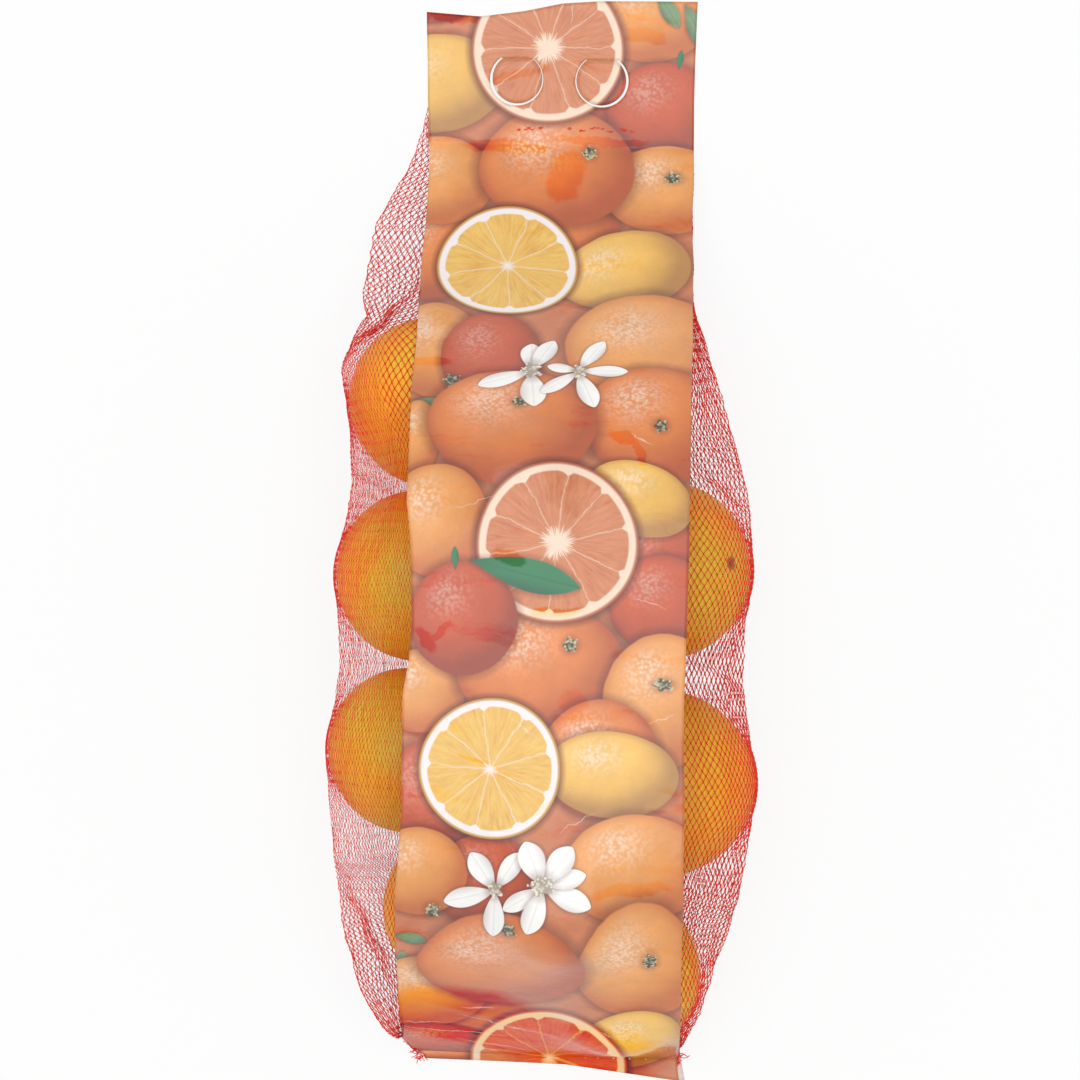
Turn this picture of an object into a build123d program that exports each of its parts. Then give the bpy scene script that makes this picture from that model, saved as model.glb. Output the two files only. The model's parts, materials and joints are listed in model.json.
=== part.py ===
from build123d import *
from math import atan2, cos, hypot, inf, pi, radians, sin, sqrt
import os

# Mesh produce bag, packed with oranges and lying on its back.
# X runs across the printed band, Y from the hem towards the hang header, Z up from the
# surface it lies on. The origin is the middle of the bag's outline on that surface.
# A knitted net tube holds the fruit. A front and a back film band lie outside the net and
# are welded to its two flattened ends. Above the top weld the two films go on as the hang
# header, with a finger hole on each side whose cut-out tab stays on by its upper edge.

# Film bands and welds, mm
band_width = 112.0
film = 0.4
header_height = 51.0
top_weld_height = 8.0
hem_weld_height = 8.0
neck_slack = 73.0

# Net, mm
net_ply = 0.6
net_slit = 0.4
net_inset = 6.0
net_sides = 20
net_stations = 36
net_steps = 48

# Finger holes and their tabs, mm
finger_hole_diameter = 22.5
finger_hole_spacing = 35.6
finger_hole_rise = 18.0
tab_hinge_width = 14.0
tab_slit = 1.0

# Clearances, mm
fruit_gap = 0.3
band_gap = 0.3
fold_gap = 0.3

# Fruit, mm. The layout below is for fruit of the layout diameter and grows with the fruit. Each
# orange has its own difference from the graded diameter.
fruit_diameter = 72.0
layout_diameter = 72.0
oversize = {
    "left_1": -1.8, "left_2": -1.4, "left_3": -3.8, "left_4": -6.0,
    "right_1": -1.4, "right_2": 2.2, "right_3": 4.8, "right_4": -4.8,
    "raised_1": -5.0, "raised_2": 4.0, "raised_3": -6.0,
}
first_fruit_offset = 33.4
foot_room = 5.3
# Fruit on the floor: each one, the one it lies beyond, the direction in degrees from +X and
# the spare room left between the two
floor_rows = (
    ("right_3", "right_4", 79.0, 7.5),
    ("right_2", "right_3", 91.4, 11.2),
    ("left_4", "right_4", 158.7, 3.4),
    ("left_3", "left_4", 109.6, 0.5),
    ("left_2", "left_3", 87.7, 1.5),
    ("left_1", "left_2", 87.2, 0.7),
)

os.makedirs("parts", exist_ok=True)

# ---- packing of the fruit

fruit_floor = film + net_ply + fruit_gap
growth = fruit_diameter / layout_diameter
radius = {name: (layout_diameter + extra) * growth / 2 for name, extra in oversize.items()}
centre = {}


def plan_distance(name, other):
    """Distance in plan between two oranges that rest on the floor and touch."""
    contact = radius[name] + radius[other] + fruit_gap
    return sqrt(contact**2 - (radius[name] - radius[other]) ** 2)


def rest_beyond(name, previous, heading, spare):
    """Rest an orange on the floor beyond another one, in a plan direction in degrees."""
    distance = plan_distance(name, previous) + spare
    x, y, _ = centre[previous]
    centre[name] = (
        x + distance * cos(radians(heading)),
        y + distance * sin(radians(heading)),
        fruit_floor + radius[name],
    )


def rest_between(name, left, right):
    """Rest an orange on the floor against two others, on the header side of them."""
    ax, ay, _ = centre[left]
    bx, by, _ = centre[right]
    to_left = plan_distance(name, left)
    to_right = plan_distance(name, right)
    span = hypot(bx - ax, by - ay)
    along = (to_left**2 - to_right**2 + span**2) / (2 * span)
    side = sqrt(to_left**2 - along**2)
    ux, uy = (bx - ax) / span, (by - ay) / span
    centre[name] = (
        ax + ux * along - uy * side,
        ay + uy * along + ux * side,
        fruit_floor + radius[name],
    )


def rest_on_top(name, *supports):
    """Seat an orange in the hollow over three others."""
    p1, p2, p3 = (Vector(*centre[support]) for support in supports)
    d1, d2, d3 = (radius[support] + radius[name] + fruit_gap for support in supports)
    ex = (p2 - p1).normalized()
    i = ex.dot(p3 - p1)
    ey = (p3 - p1 - ex * i).normalized()
    ez = ex.cross(ey)
    d = (p2 - p1).length
    j = ey.dot(p3 - p1)
    x = (d1**2 - d2**2 + d**2) / (2 * d)
    y = (d1**2 - d3**2 + i**2 + j**2 - 2 * i * x) / (2 * j)
    z = sqrt(d1**2 - x**2 - y**2)
    if ez.Z < 0:
        z = -z
    seat = p1 + ex * x + ey * y + ez * z
    centre[name] = (seat.X, seat.Y, seat.Z)


# Y is counted from the hem here, and is moved to the middle of the bag's length below.
centre["right_4"] = (
    first_fruit_offset * growth,
    hem_weld_height + foot_room + radius["right_4"],
    fruit_floor + radius["right_4"],
)
for name, previous, heading, spare in floor_rows:
    rest_beyond(name, previous, heading, spare * growth)
rest_between("right_1", "left_1", "right_2")
rest_on_top("raised_1", "left_1", "left_2", "right_1")
rest_on_top("raised_2", "left_2", "left_3", "right_3")
rest_on_top("raised_3", "left_4", "right_4", "right_3")

fruit_end = max(centre[name][1] + radius[name] for name in centre)
bag_length = fruit_end + neck_slack + fold_gap + top_weld_height + header_height
middle = bag_length / 2
centre = {name: (x, y - middle, z) for name, (x, y, z) in centre.items()}

hem_y = -middle
net_foot_y = hem_y + hem_weld_height
net_head_y = fruit_end + neck_slack - middle
top_weld_y = net_head_y + fold_gap
header_y = top_weld_y + top_weld_height
header_top_y = header_y + header_height

# ---- shape of the net

strip_radius = net_slit / 2
strip_z = film + net_ply + strip_radius
strip_half = band_width / 2 - net_inset
strip_ends = {
    "foot_left": (-strip_half, net_foot_y, strip_z),
    "foot_right": (strip_half, net_foot_y, strip_z),
    "head_left": (-strip_half, net_head_y, strip_z),
    "head_right": (strip_half, net_head_y, strip_z),
}
# The net is stretched over these rows of fruit, from the flat strip at its foot to the one
# at its head.
net_rows = (
    ("foot_left", "left_4", "left_3", "left_2", "left_1", "head_left"),
    ("foot_right", "right_4", "right_3", "right_2", "right_1", "head_right"),
    ("left_4", "raised_3", "raised_2", "raised_1", "left_1"),
    ("right_4", "raised_3", "raised_1", "right_1"),
)


def ball(name):
    """Centre and radius of the inside of the net round a fruit or a strip's end."""
    if name in strip_ends:
        return (*strip_ends[name], strip_radius)
    return (*centre[name], radius[name] + fruit_gap)


def swept_balls():
    """Balls swept along each row, from each fruit to the next."""
    balls = []
    for row in net_rows:
        for start, end in zip(row, row[1:]):
            for step in range(net_steps + 1):
                share = step / net_steps
                balls.append(tuple(a + (b - a) * share for a, b in zip(ball(start), ball(end))))
    return balls


balls = swept_balls()


def reach(y, window, angle):
    """How far the net's inside reaches in a direction of the XZ plane, near a station."""
    furthest = -inf
    for x, ball_y, z, r in balls:
        off = max(0.0, abs(y - ball_y) - window)
        if off < r:
            furthest = max(furthest, x * cos(angle) + z * sin(angle) + sqrt(r**2 - off**2))
    return furthest


def outline(reaches, ply):
    """Corners of the outline whose evenly turned sides lie at the given reaches."""
    corners = []
    turn = 2 * pi / net_sides
    for side in range(net_sides):
        a, b = side * turn, (side + 1) * turn
        ha, hb = reaches[side] + ply, reaches[(side + 1) % net_sides] + ply
        x = (ha * sin(b) - hb * sin(a)) / sin(turn)
        z = (hb * cos(a) - ha * cos(b)) / sin(turn)
        corners.append((x, z))
    return corners


net_length = net_head_y - net_foot_y
net_pitch = net_length / (net_stations - 1)
station_ys = [net_foot_y, net_foot_y + foot_room * 2 / 3]
station_ys += [net_foot_y + net_pitch * station for station in range(1, net_stations)]
directions = [2 * pi * side / net_sides for side in range(net_sides)]
strip_reaches = [
    strip_half * abs(cos(angle)) + strip_z * sin(angle) + strip_radius for angle in directions
]
sections = []
for station_y in station_ys:
    if station_y in (net_foot_y, net_head_y):
        sections.append(strip_reaches)
    else:
        sections.append([reach(station_y, net_pitch / 2, angle) for angle in directions])

with BuildPart() as net:
    for station_y, reaches in zip(station_ys, sections):
        with BuildSketch(Plane.XZ.offset(-station_y)):
            with BuildLine():
                Polyline(*outline(reaches, net_ply), close=True)
            make_face()
    loft(ruled=True)
    for station_y, reaches in zip(station_ys, sections):
        with BuildSketch(Plane.XZ.offset(-station_y)):
            with BuildLine():
                Polyline(*outline(reaches, 0), close=True)
            make_face()
    loft(ruled=True, mode=Mode.SUBTRACT)
net.part.label = "net"
export_step(net.part, "parts/net.step")

# ---- front and back bands

side_up = net_sides // 4
net_top = [(y, reaches[side_up] + net_ply) for y, reaches in zip(station_ys, sections)]


def raised(profile, distance):
    """The points of a profile in the YZ plane, moved out from it by a distance."""
    points = []
    for index, (y, z) in enumerate(profile):
        y0, z0 = profile[max(index - 1, 0)]
        y1, z1 = profile[min(index + 1, len(profile) - 1)]
        before = atan2(z - z0, y - y0) if index else 0.0
        after = atan2(z1 - z, y1 - y) if index < len(profile) - 1 else 0.0
        lean = (before + after) / 2
        miter = distance / cos((after - before) / 2)
        points.append((y - miter * sin(lean), z + miter * cos(lean)))
    points[0] = (profile[0][0], profile[0][1] + distance)
    points[-1] = (profile[-1][0], profile[-1][1] + distance)
    return points


band_under = raised(net_top, band_gap)
band_over = raised(net_top, band_gap + film)
weld_thickness = band_over[0][1]
band_side = Plane.YZ.offset(-band_width / 2)

with BuildPart() as front_band:
    with BuildSketch(band_side):
        with BuildLine():
            Polyline(*band_under, *reversed(band_over), close=True)
        make_face()
    extrude(amount=band_width)
front_band.part.label = "front_band"
export_step(front_band.part, "parts/front_band.step")

with BuildPart() as back_band:
    with BuildSketch(Plane.XY):
        with Locations((0, (net_foot_y + net_head_y) / 2)):
            Rectangle(band_width, net_length)
    extrude(amount=film)
back_band.part.label = "back_band"
export_step(back_band.part, "parts/back_band.step")

# ---- welds

with BuildPart() as hem_weld:
    with BuildSketch(Plane.XY):
        with Locations((0, hem_y + hem_weld_height / 2)):
            Rectangle(band_width, hem_weld_height)
    extrude(amount=weld_thickness)
hem_weld.part.label = "hem_weld"
export_step(hem_weld.part, "parts/hem_weld.step")

with BuildPart() as top_weld:
    with BuildSketch(Plane.XY):
        with Locations((0, top_weld_y + top_weld_height / 2)):
            Rectangle(band_width, top_weld_height)
    extrude(amount=weld_thickness)
top_weld.part.label = "top_weld"
export_step(top_weld.part, "parts/top_weld.step")

# ---- hang header with its two finger holes

hole_y = header_y + finger_hole_rise
hole_radius = finger_hole_diameter / 2
hinge_rise = sqrt(hole_radius**2 - (tab_hinge_width / 2) ** 2)
tab_hinge_y = hole_y + hinge_rise
hole_spots = [(-finger_hole_spacing / 2, hole_y), (finger_hole_spacing / 2, hole_y)]


with BuildSketch() as finger_holes:
    with Locations(*hole_spots):
        Circle(hole_radius)
    with Locations((0, tab_hinge_y)):
        Rectangle(band_width, hole_radius, align=(Align.CENTER, Align.MIN), mode=Mode.SUBTRACT)

for name, lift in (("header_back", 0.0), ("header_front", film)):
    with BuildPart() as header:
        with BuildSketch(Plane.XY.offset(lift)):
            with Locations((0, header_y + header_height / 2)):
                Rectangle(band_width, header_height)
            add(finger_holes.sketch, mode=Mode.SUBTRACT)
        extrude(amount=film)
    header.part.label = name
    export_step(header.part, f"parts/{name}.step")

for side, spot in zip(("left", "right"), hole_spots):
    with BuildPart() as tab:
        with BuildSketch(Plane.XY):
            with Locations(spot):
                Circle(hole_radius - tab_slit)
            with Locations((spot[0], tab_hinge_y - fold_gap)):
                Rectangle(
                    finger_hole_diameter,
                    hole_radius,
                    align=(Align.CENTER, Align.MIN),
                    mode=Mode.SUBTRACT,
                )
        extrude(amount=2 * film)
    tab.part.label = f"finger_tab_{side}"
    export_step(tab.part, f"parts/finger_tab_{side}.step")

# ---- fruit

for name, spot in centre.items():
    with BuildPart() as orange:
        with Locations(spot):
            Sphere(radius[name])
    orange.part.label = f"orange_{name}"
    export_step(orange.part, f"parts/orange_{name}.step")

print(f"bag length {bag_length:.1f}, thickness {max(z for _, z in band_over):.1f}")
print(f"top fold at y {top_weld_y - fold_gap / 2:.2f}, z {weld_thickness:.2f}")
print(f"tab hinges at x {finger_hole_spacing / 2:.2f}, y {tab_hinge_y:.2f}, z {2 * film:.2f}")
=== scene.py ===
import functools
import json
import math

import bpy
import numpy as np
from bpy.props import FloatProperty, FloatVectorProperty, IntProperty, PointerProperty
from bpy.types import Operator, Panel, PropertyGroup
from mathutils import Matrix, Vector
from mathutils.geometry import delaunay_2d_cdt


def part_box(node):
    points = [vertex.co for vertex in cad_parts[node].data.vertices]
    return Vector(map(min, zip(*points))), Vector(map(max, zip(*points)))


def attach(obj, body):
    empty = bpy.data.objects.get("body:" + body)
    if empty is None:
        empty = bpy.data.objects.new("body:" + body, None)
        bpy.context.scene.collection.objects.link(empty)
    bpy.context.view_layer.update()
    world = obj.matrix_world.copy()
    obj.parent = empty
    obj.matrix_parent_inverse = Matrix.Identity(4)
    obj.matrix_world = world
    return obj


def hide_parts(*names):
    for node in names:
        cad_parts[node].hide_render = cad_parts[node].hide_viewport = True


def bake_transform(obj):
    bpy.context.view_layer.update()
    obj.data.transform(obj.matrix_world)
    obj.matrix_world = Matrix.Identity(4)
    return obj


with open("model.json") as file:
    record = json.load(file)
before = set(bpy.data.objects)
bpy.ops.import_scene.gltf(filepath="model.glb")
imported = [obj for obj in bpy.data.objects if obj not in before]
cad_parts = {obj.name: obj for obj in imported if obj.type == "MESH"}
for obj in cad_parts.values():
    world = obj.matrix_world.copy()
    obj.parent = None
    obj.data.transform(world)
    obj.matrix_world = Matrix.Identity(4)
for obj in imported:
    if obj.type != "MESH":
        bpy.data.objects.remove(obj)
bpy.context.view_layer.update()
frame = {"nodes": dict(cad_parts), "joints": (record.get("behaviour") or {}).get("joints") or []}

bl_info = {
    "name": "Net bag of oranges",
    "version": (1, 0, 0),
    "blender": (4, 5, 0),
    "location": "View3D > Sidebar > Net bag",
    "description": "Builds a net produce bag with its printed film bands, threads and fruit",
    "category": "Add Mesh",
}

# Lengths are worked out in millimetres and turned to metres where a mesh is made.
MM = 0.001


def box_mm(node):
    """Lowest and highest corner of a CAD node, in millimetres."""
    low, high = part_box(node)
    return np.array(low) / MM, np.array(high) / MM


FRUIT = {
    name: (sum(box_mm(name)) / 2, (box_mm(name)[1] - box_mm(name)[0]).max() / 2)
    for name in sorted(frame["nodes"])
    if name.startswith("orange_")
}
BAND_LOW, BAND_HIGH = box_mm("front_band")
HALF = BAND_HIGH[0]
FOOT_Y, HEAD_Y = BAND_LOW[1], BAND_HIGH[1]
HEADER_Y, HEADER_TOP = box_mm("header_front")[0][1], box_mm("header_front")[1][1]
HEADER_Z = box_mm("header_front")[1][2]
JOINTS = {joint["name"]: joint for joint in frame["joints"]}


# ---- general tools


def linear(colour):
    """Linear red, green, blue and alpha of an sRGB hex colour."""
    channels = [int(colour[i : i + 2], 16) / 255 for i in (1, 3, 5)]
    return tuple(c / 12.92 if c <= 0.04045 else ((c + 0.055) / 1.055) ** 2.4 for c in channels) + (1.0,)


# ---- settings


def colour_setting(name, description, colour):
    return FloatVectorProperty(name=name, description=description, default=linear(colour),
                               subtype="COLOR", size=4, min=0.0, max=1.0)


class FilmSettings(PropertyGroup):
    thickness: FloatProperty(name="Thickness", description="Thickness of one laminated film",
                             default=0.00022, unit="LENGTH", min=0.00005, max=0.0006)
    hole_radius: FloatProperty(name="Finger hole", description="Radius of a finger hole in the header",
                               default=0.0111, unit="LENGTH", min=0.005, max=0.014)
    tab_radius: FloatProperty(name="Finger tab", description="Radius of the tab left in a finger hole",
                              default=0.0104, unit="LENGTH", min=0.004, max=0.0138)
    # The painted reflection: how much pale grey-blue is mixed into the print's colour to stand for the
    # softbox's sheen.
    painted_reflection: FloatProperty(name="Veil", description="How milky the air between the film's layers looks",
                        default=0.05, subtype="FACTOR", min=0.0, max=1.0)
    gloss: FloatProperty(name="Gloss", description="Weight of the clear top layer's shine", default=0.28,
                         subtype="FACTOR", min=0.0, max=1.0)
    inside: colour_setting("Inside", "Colour of the film's unprinted side", "#E6DCD4")


class PrintSettings(PropertyGroup):
    orange: colour_setting("Orange", "Printed peel of the deeper oranges", "#E08039")
    pale_orange: colour_setting("Pale orange", "Printed peel of the lighter oranges", "#E79B50")
    mandarin: colour_setting("Mandarin", "Printed peel of the mandarins", "#C64F23")
    lemon: colour_setting("Lemon", "Printed peel of the lemons", "#EFBA56")
    petal: colour_setting("Petal", "Printed blossom petals", "#FCFAF6")
    leaf: colour_setting("Leaf", "Printed leaves", "#1F7C4C")
    blood_flesh: colour_setting("Blood orange flesh", "Printed flesh of the blood orange slices",
                                "#D6885A")
    citron_flesh: colour_setting("Citron flesh", "Printed flesh of the yellow slices", "#EFC262")
    orange_flesh: colour_setting("Orange flesh", "Printed flesh of the slice at the hem", "#DE7722")


class NetSettings(PropertyGroup):
    thread: FloatProperty(name="Thread", description="Thickness of a slack thread", default=0.00028,
                          unit="LENGTH", min=0.0001, max=0.0006)
    row: FloatProperty(name="Row step", description="Distance between two rows of knots",
                       default=0.00238, unit="LENGTH", min=0.0015, max=0.005)
    cells_left: IntProperty(name="Cells left", description="Net cells round the bag's left side",
                            default=107, min=40, max=140)
    cells_right: IntProperty(name="Cells right", description="Net cells round the bag's right side",
                             default=75, min=30, max=140)
    colour: colour_setting("Thread colour", "Colour of the net's threads", "#F42812")


class FruitSettings(PropertyGroup):
    ripe: colour_setting("Ripe peel", "Peel where it has turned orange", "#FFAE1E")
    green: colour_setting("Unripe peel", "Peel where it is still greenish yellow", "#E6CA34")
    gland: FloatProperty(name="Oil gland", description="Distance between the pits in the peel",
                         default=0.0016, unit="LENGTH", min=0.0005, max=0.004)


class StageSettings(PropertyGroup):
    light_power: FloatProperty(name="Light", description="Power of the softbox", default=44.0,
                               unit="POWER", min=0.0, max=500.0)
    light_side: FloatProperty(name="Softbox side", description="Side length of the softbox", default=3.6,
                              unit="LENGTH", min=0.2, max=6.0)
    surround: FloatProperty(name="Surround", description="Strength of the even light from all round",
                            default=0.7, min=0.0, max=1.0)
    floor: colour_setting("Floor", "Colour of the paper under the bag", "#EEEEEE")


GROUPS = {"film": FilmSettings, "print": PrintSettings, "net": NetSettings, "fruit": FruitSettings,
          "stage": StageSettings}


def chosen(group):
    """The settings of one group in the panel."""
    return getattr(bpy.context.scene, f"net_bag_{group}")


def film_mm():
    return chosen("film").thickness / MM


def hole_mm():
    return chosen("film").hole_radius / MM


def tab_mm():
    return chosen("film").tab_radius / MM


def row_mm():
    return chosen("net").row / MM


# ---- node and mesh tools


def node(tree, kind, inputs=None, **settings):
    """Add a shader node with its settings. Inputs are values, sockets, or nodes, by their first output."""
    added = tree.nodes.new(kind if kind.startswith("NodeGroup") else f"ShaderNode{kind}")
    for key, value in settings.items():
        setattr(added, key, value)
    for key, value in (inputs or {}).items():
        if isinstance(value, bpy.types.Node):
            value = value.outputs[0]
        if isinstance(value, bpy.types.NodeSocket):
            tree.links.new(value, added.inputs[key])
        else:
            added.inputs[key].default_value = value
    return added


def noise(tree, place, scale, detail, roughness):
    """A noise texture. Its first output is a value, its second a colour."""
    return node(tree, "TexNoise", {"Vector": place, "Scale": scale, "Detail": detail, "Roughness": roughness})


def new_piece(name, points, faces, material, smooth=True):
    """A mesh object from points in millimetres."""
    mesh = bpy.data.meshes.new(name)
    mesh.from_pydata((np.asarray(points, float) * MM).tolist(), [], faces)
    mesh.update()
    mesh.polygons.foreach_set("use_smooth", [smooth] * len(mesh.polygons))
    mesh.materials.append(material)
    piece = bpy.data.objects.new(name, mesh)
    bpy.context.scene.collection.objects.link(piece)
    return piece


def grid_faces(rows, columns, closed=False):
    """Quads over a grid of points that are numbered row by row."""
    spans = columns if closed else columns - 1
    r, c = np.meshgrid(np.arange(rows - 1), np.arange(spans), indexing="ij")
    after = (c + 1) % columns
    here, beyond = r * columns, (r + 1) * columns
    return np.stack([here + c, here + after, beyond + after, beyond + c], -1).reshape(-1, 4).tolist()


def waves(a, b, seed, length, count=6):
    """Smooth noise from -1 to 1 over two coordinates, as a sum of seeded waves."""
    draw = np.random.default_rng(seed)
    total = np.zeros(np.broadcast(a, b).shape)
    for _ in range(count):
        turn, phase = draw.uniform(0, 2 * np.pi), draw.uniform(0, 2 * np.pi)
        stretch = draw.uniform(0.6, 1.6)
        total += np.sin((a * np.cos(turn) + b * np.sin(turn)) * 2 * np.pi * stretch / length + phase)
    return total / count**0.5 / 1.4


def blur(heights, weight_y, weight_x, rounds, floor, ends):
    """Stretch a sheet over what lies under it: relax it, but never below the floor heights."""
    for _ in range(rounds):
        padded = np.pad(heights, 1, mode="edge")
        beside_y = padded[2:, 1:-1] + padded[:-2, 1:-1]
        beside_x = padded[1:-1, 2:] + padded[1:-1, :-2]
        heights = (weight_y * beside_y + weight_x * beside_x) / (2 * weight_y + 2 * weight_x)
        heights = np.maximum(heights, floor)
        heights[0], heights[-1] = ends
    return heights


# ---- shape of the front band

# Room for the net between film and fruit, and the band's height at its two ends.
THREAD_ROOM = 0.9
BAND_REST = 1.5
# Where the band's neck starts, how far it sinks there, and how far the free edges droop.
NECK_Y, NECK_SAG, EDGE_DROOP = 58.0, 19.0, 6.0
CREASES = (
    # x, y at each end in mm from the bag's middle, height, width
    (-54.0, -188.0, -2.0, -200.0, 1.3, 2.6),
    (-52.0, -196.0, 6.0, -211.0, -1.2, 2.4),
    (-40.0, -203.0, 36.0, -214.0, 1.2, 2.0),
    (-20.0, -197.0, 20.0, -206.0, 0.9, 1.6),
    (-50.0, -205.0, -22.0, -212.0, 1.0, 1.8),
    (-34.0, 163.0, 30.0, 118.0, 0.8, 3.4),
    (10.0, 164.0, 4.0, 116.0, 1.1, 3.0),
    (34.0, 164.0, 50.0, 128.0, 0.7, 3.0),
    (-52.0, 156.0, -20.0, 160.0, 0.6, 2.4),
    (-30.0, -62.0, 24.0, -80.0, 0.5, 2.2),
    (2.0, -92.0, 18.0, -104.0, 0.8, 1.6),
    (6.0, -88.0, 22.0, -98.0, -0.6, 1.4),
    (16.0, 36.0, 40.0, 16.0, 0.5, 2.0),
    (-50.0, 22.0, -20.0, 10.0, 0.4, 2.4),
)


def crease_height(x, y):
    """Height that the creases add to the band at a place."""
    total = np.zeros(np.broadcast(x, y).shape)
    for x0, y0, x1, y1, height, width in CREASES:
        length = math.hypot(x1 - x0, y1 - y0)
        ux, uy = (x1 - x0) / length, (y1 - y0) / length
        along = np.clip(((x - x0) * ux + (y - y0) * uy) / length, 0, 1)
        off = np.hypot(x - x0 - along * length * ux, y - y0 - along * length * uy)
        total += height * np.exp(-off / width) * np.sin(np.pi * np.clip(along, 0.04, 0.96))
    return total


class Band:
    """Heights of the front band where it lies over the fruit, on a grid in the XY plane."""

    def __init__(self, pitch=2.0):
        self.x = np.linspace(-HALF, HALF, int(2 * HALF / pitch) + 1)
        self.y = np.linspace(FOOT_Y, HEAD_Y, int((HEAD_Y - FOOT_Y) / pitch) + 1)
        x, y = np.meshgrid(self.x, self.y)
        under = np.full(x.shape, BAND_REST)
        for centre, radius in FRUIT.values():
            room = (radius + THREAD_ROOM) ** 2 - (x - centre[0]) ** 2 - (y - centre[1]) ** 2
            under = np.maximum(under, np.where(room > 0, centre[2] + np.sqrt(np.maximum(room, 0)), 0))
        ends = (BAND_REST, BAND_REST)
        heights = np.repeat(taut_profile(self.y, under.max(1))[:, None], len(self.x), axis=1)
        heights = blur(heights, 1.0, 0.5, 900, under, ends)
        # The limp film sinks between the top weld and the first fruit.
        neck = np.clip((self.y - NECK_Y) / (HEAD_Y - NECK_Y), 0, 1)
        heights -= (NECK_SAG * np.sin(np.pi * neck**0.9) ** 1.5)[:, None]
        heights = blur(np.maximum(heights, under), 1.0, 0.6, 60, under, ends)
        # Its free edges droop a little on both sides.
        along = np.clip(np.minimum(self.y - FOOT_Y, HEAD_Y - self.y) / 60.0, 0, 1)
        heights -= EDGE_DROOP * (self.x / HALF) ** 2 * along[:, None]
        heights = blur(np.maximum(heights, under), 1.0, 1.0, 6, under, ends)
        heights += (0.5 * waves(x, y, 3, 46.0) + 0.25 * waves(x, y, 4, 17.0)) * along[:, None] ** 0.5
        self.heights = blur(np.maximum(heights, under), 1.0, 1.0, 10, under - 0.35, ends)

    def height(self, x, y):
        """Height of the band at places in the plan."""
        column = np.clip((x + HALF) / (2 * HALF) * (len(self.x) - 1), 0, len(self.x) - 1.001)
        row = np.clip((y - FOOT_Y) / (HEAD_Y - FOOT_Y) * (len(self.y) - 1), 0, len(self.y) - 1.001)
        c, r = column.astype(int), row.astype(int)
        s, t = column - c, row - r
        near = self.heights[r, c] * (1 - s) + self.heights[r, c + 1] * s
        far = self.heights[r + 1, c] * (1 - s) + self.heights[r + 1, c + 1] * s
        return near * (1 - t) + far * t


def taut_profile(y, tops):
    """Upper hull of the tops along Y, between the two ends."""
    hull = []
    for point in zip(y, tops):
        while len(hull) > 1:
            (ax, az), (bx, bz) = hull[-2:]
            if (bz - az) * (point[0] - bx) > (point[1] - bz) * (bx - ax):
                break
            hull.pop()
        hull.append(point)
    return np.interp(y, [p[0] for p in hull], [p[1] for p in hull])


# ---- films

# The band's free edges over the bag's length: y, left x, right x.
EDGES = (
    (-219.5, -46.1, 59.7), (-216.6, -47.6, 59.0), (-213.5, -51.8, 58.6), (-209.6, -55.6, 58.4),
    (-197.0, -56.8, 57.7), (-178.0, -57.2, 56.9), (-160.0, -57.8, 56.3), (-143.0, -57.9, 56.4),
    (-128.0, -56.6, 55.6), (-110.0, -55.6, 55.5), (-80.0, -55.8, 54.5), (-63.0, -56.0, 54.2),
    (-49.0, -53.8, 54.5), (-34.0, -53.0, 54.6), (-2.0, -54.4, 55.0), (13.0, -56.3, 55.0),
    (62.0, -56.0, 55.5), (80.0, -55.1, 56.4), (97.0, -55.3, 56.6), (115.0, -54.9, 57.1),
    (131.0, -53.8, 56.2), (148.0, -53.3, 56.9), (164.0, -53.5, 56.7), (183.0, -54.6, 56.4),
    (199.0, -55.0, 56.5), (226.0, -56.0, 57.0),
)
# The header's top cut: share of the width from the left, y.
TOP_CUT = ((0.0, 218.2), (0.2, 216.8), (0.36, 219.4), (0.5, 223.0), (0.64, 224.3), (1.0, 225.0))
# The hem's cut, likewise, and how far up the bag its slant is felt.
HEM_CUT = ((0.0, -216.0), (0.3, -216.6), (0.55, -217.3), (0.75, -220.0), (1.0, -223.4))
TILT_REACH = 55.0


def table(values, column, at):
    """Value of a table's column, in a straight line between its rows."""
    rows = np.array(values)
    return np.interp(at, rows[:, 0], rows[:, column])


HEM_MIDDLE = table(HEM_CUT, 1, 0.5)


def film_plan(across, along):
    """Plan position of a film's points. Across runs from 0 to 1, along is y before the ends are cut."""
    hem = 1 - np.clip((along - FOOT_Y + 4) / TILT_REACH, 0, 1)
    head = np.clip((along - HEADER_Y) / (HEADER_TOP - HEADER_Y), 0, 1)
    hem_shift = (table(HEM_CUT, 1, across) - HEM_MIDDLE) * hem**2
    top_shift = (table(TOP_CUT, 1, across) - HEADER_TOP) * head
    y = along + hem_shift + top_shift
    left, right = table(EDGES, 1, along), table(EDGES, 2, along)
    return left + (right - left) * across, y


def thicken(points, faces, depth):
    """Closed solid from a sheet: its faces, the same faces turned over below, and the rim."""
    points = np.asarray(points, float)
    triangles = np.array([(f[0], f[i], f[i + 1]) for f in faces for i in range(1, len(f) - 1)])
    a, b, c = (points[triangles[:, i]] for i in range(3))
    turned = np.cross(b - a, c - a)
    normals = np.zeros_like(points)
    for i in range(3):
        np.add.at(normals, triangles[:, i], turned)
    normals /= np.maximum(np.linalg.norm(normals, axis=1), 1e-9)[:, None]
    edges = {}
    for f in faces:
        for i, first in enumerate(f):
            edges[(first, f[(i + 1) % len(f)])] = True
    count = len(points)
    solid = [tuple(f) for f in faces] + [tuple(v + count for v in reversed(f)) for f in faces]
    rim = [(b, a, a + count, b + count) for a, b in edges if (b, a) not in edges]
    return np.concatenate([points, points - normals * depth]), solid + rim, len(faces)


def set_attribute(piece, name, values):
    """Keep three numbers per point on a piece, for its material."""
    attribute = piece.data.attributes.new(name, "FLOAT_VECTOR", "POINT")
    attribute.data.foreach_set("vector", np.asarray(values, np.float32).ravel())


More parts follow.
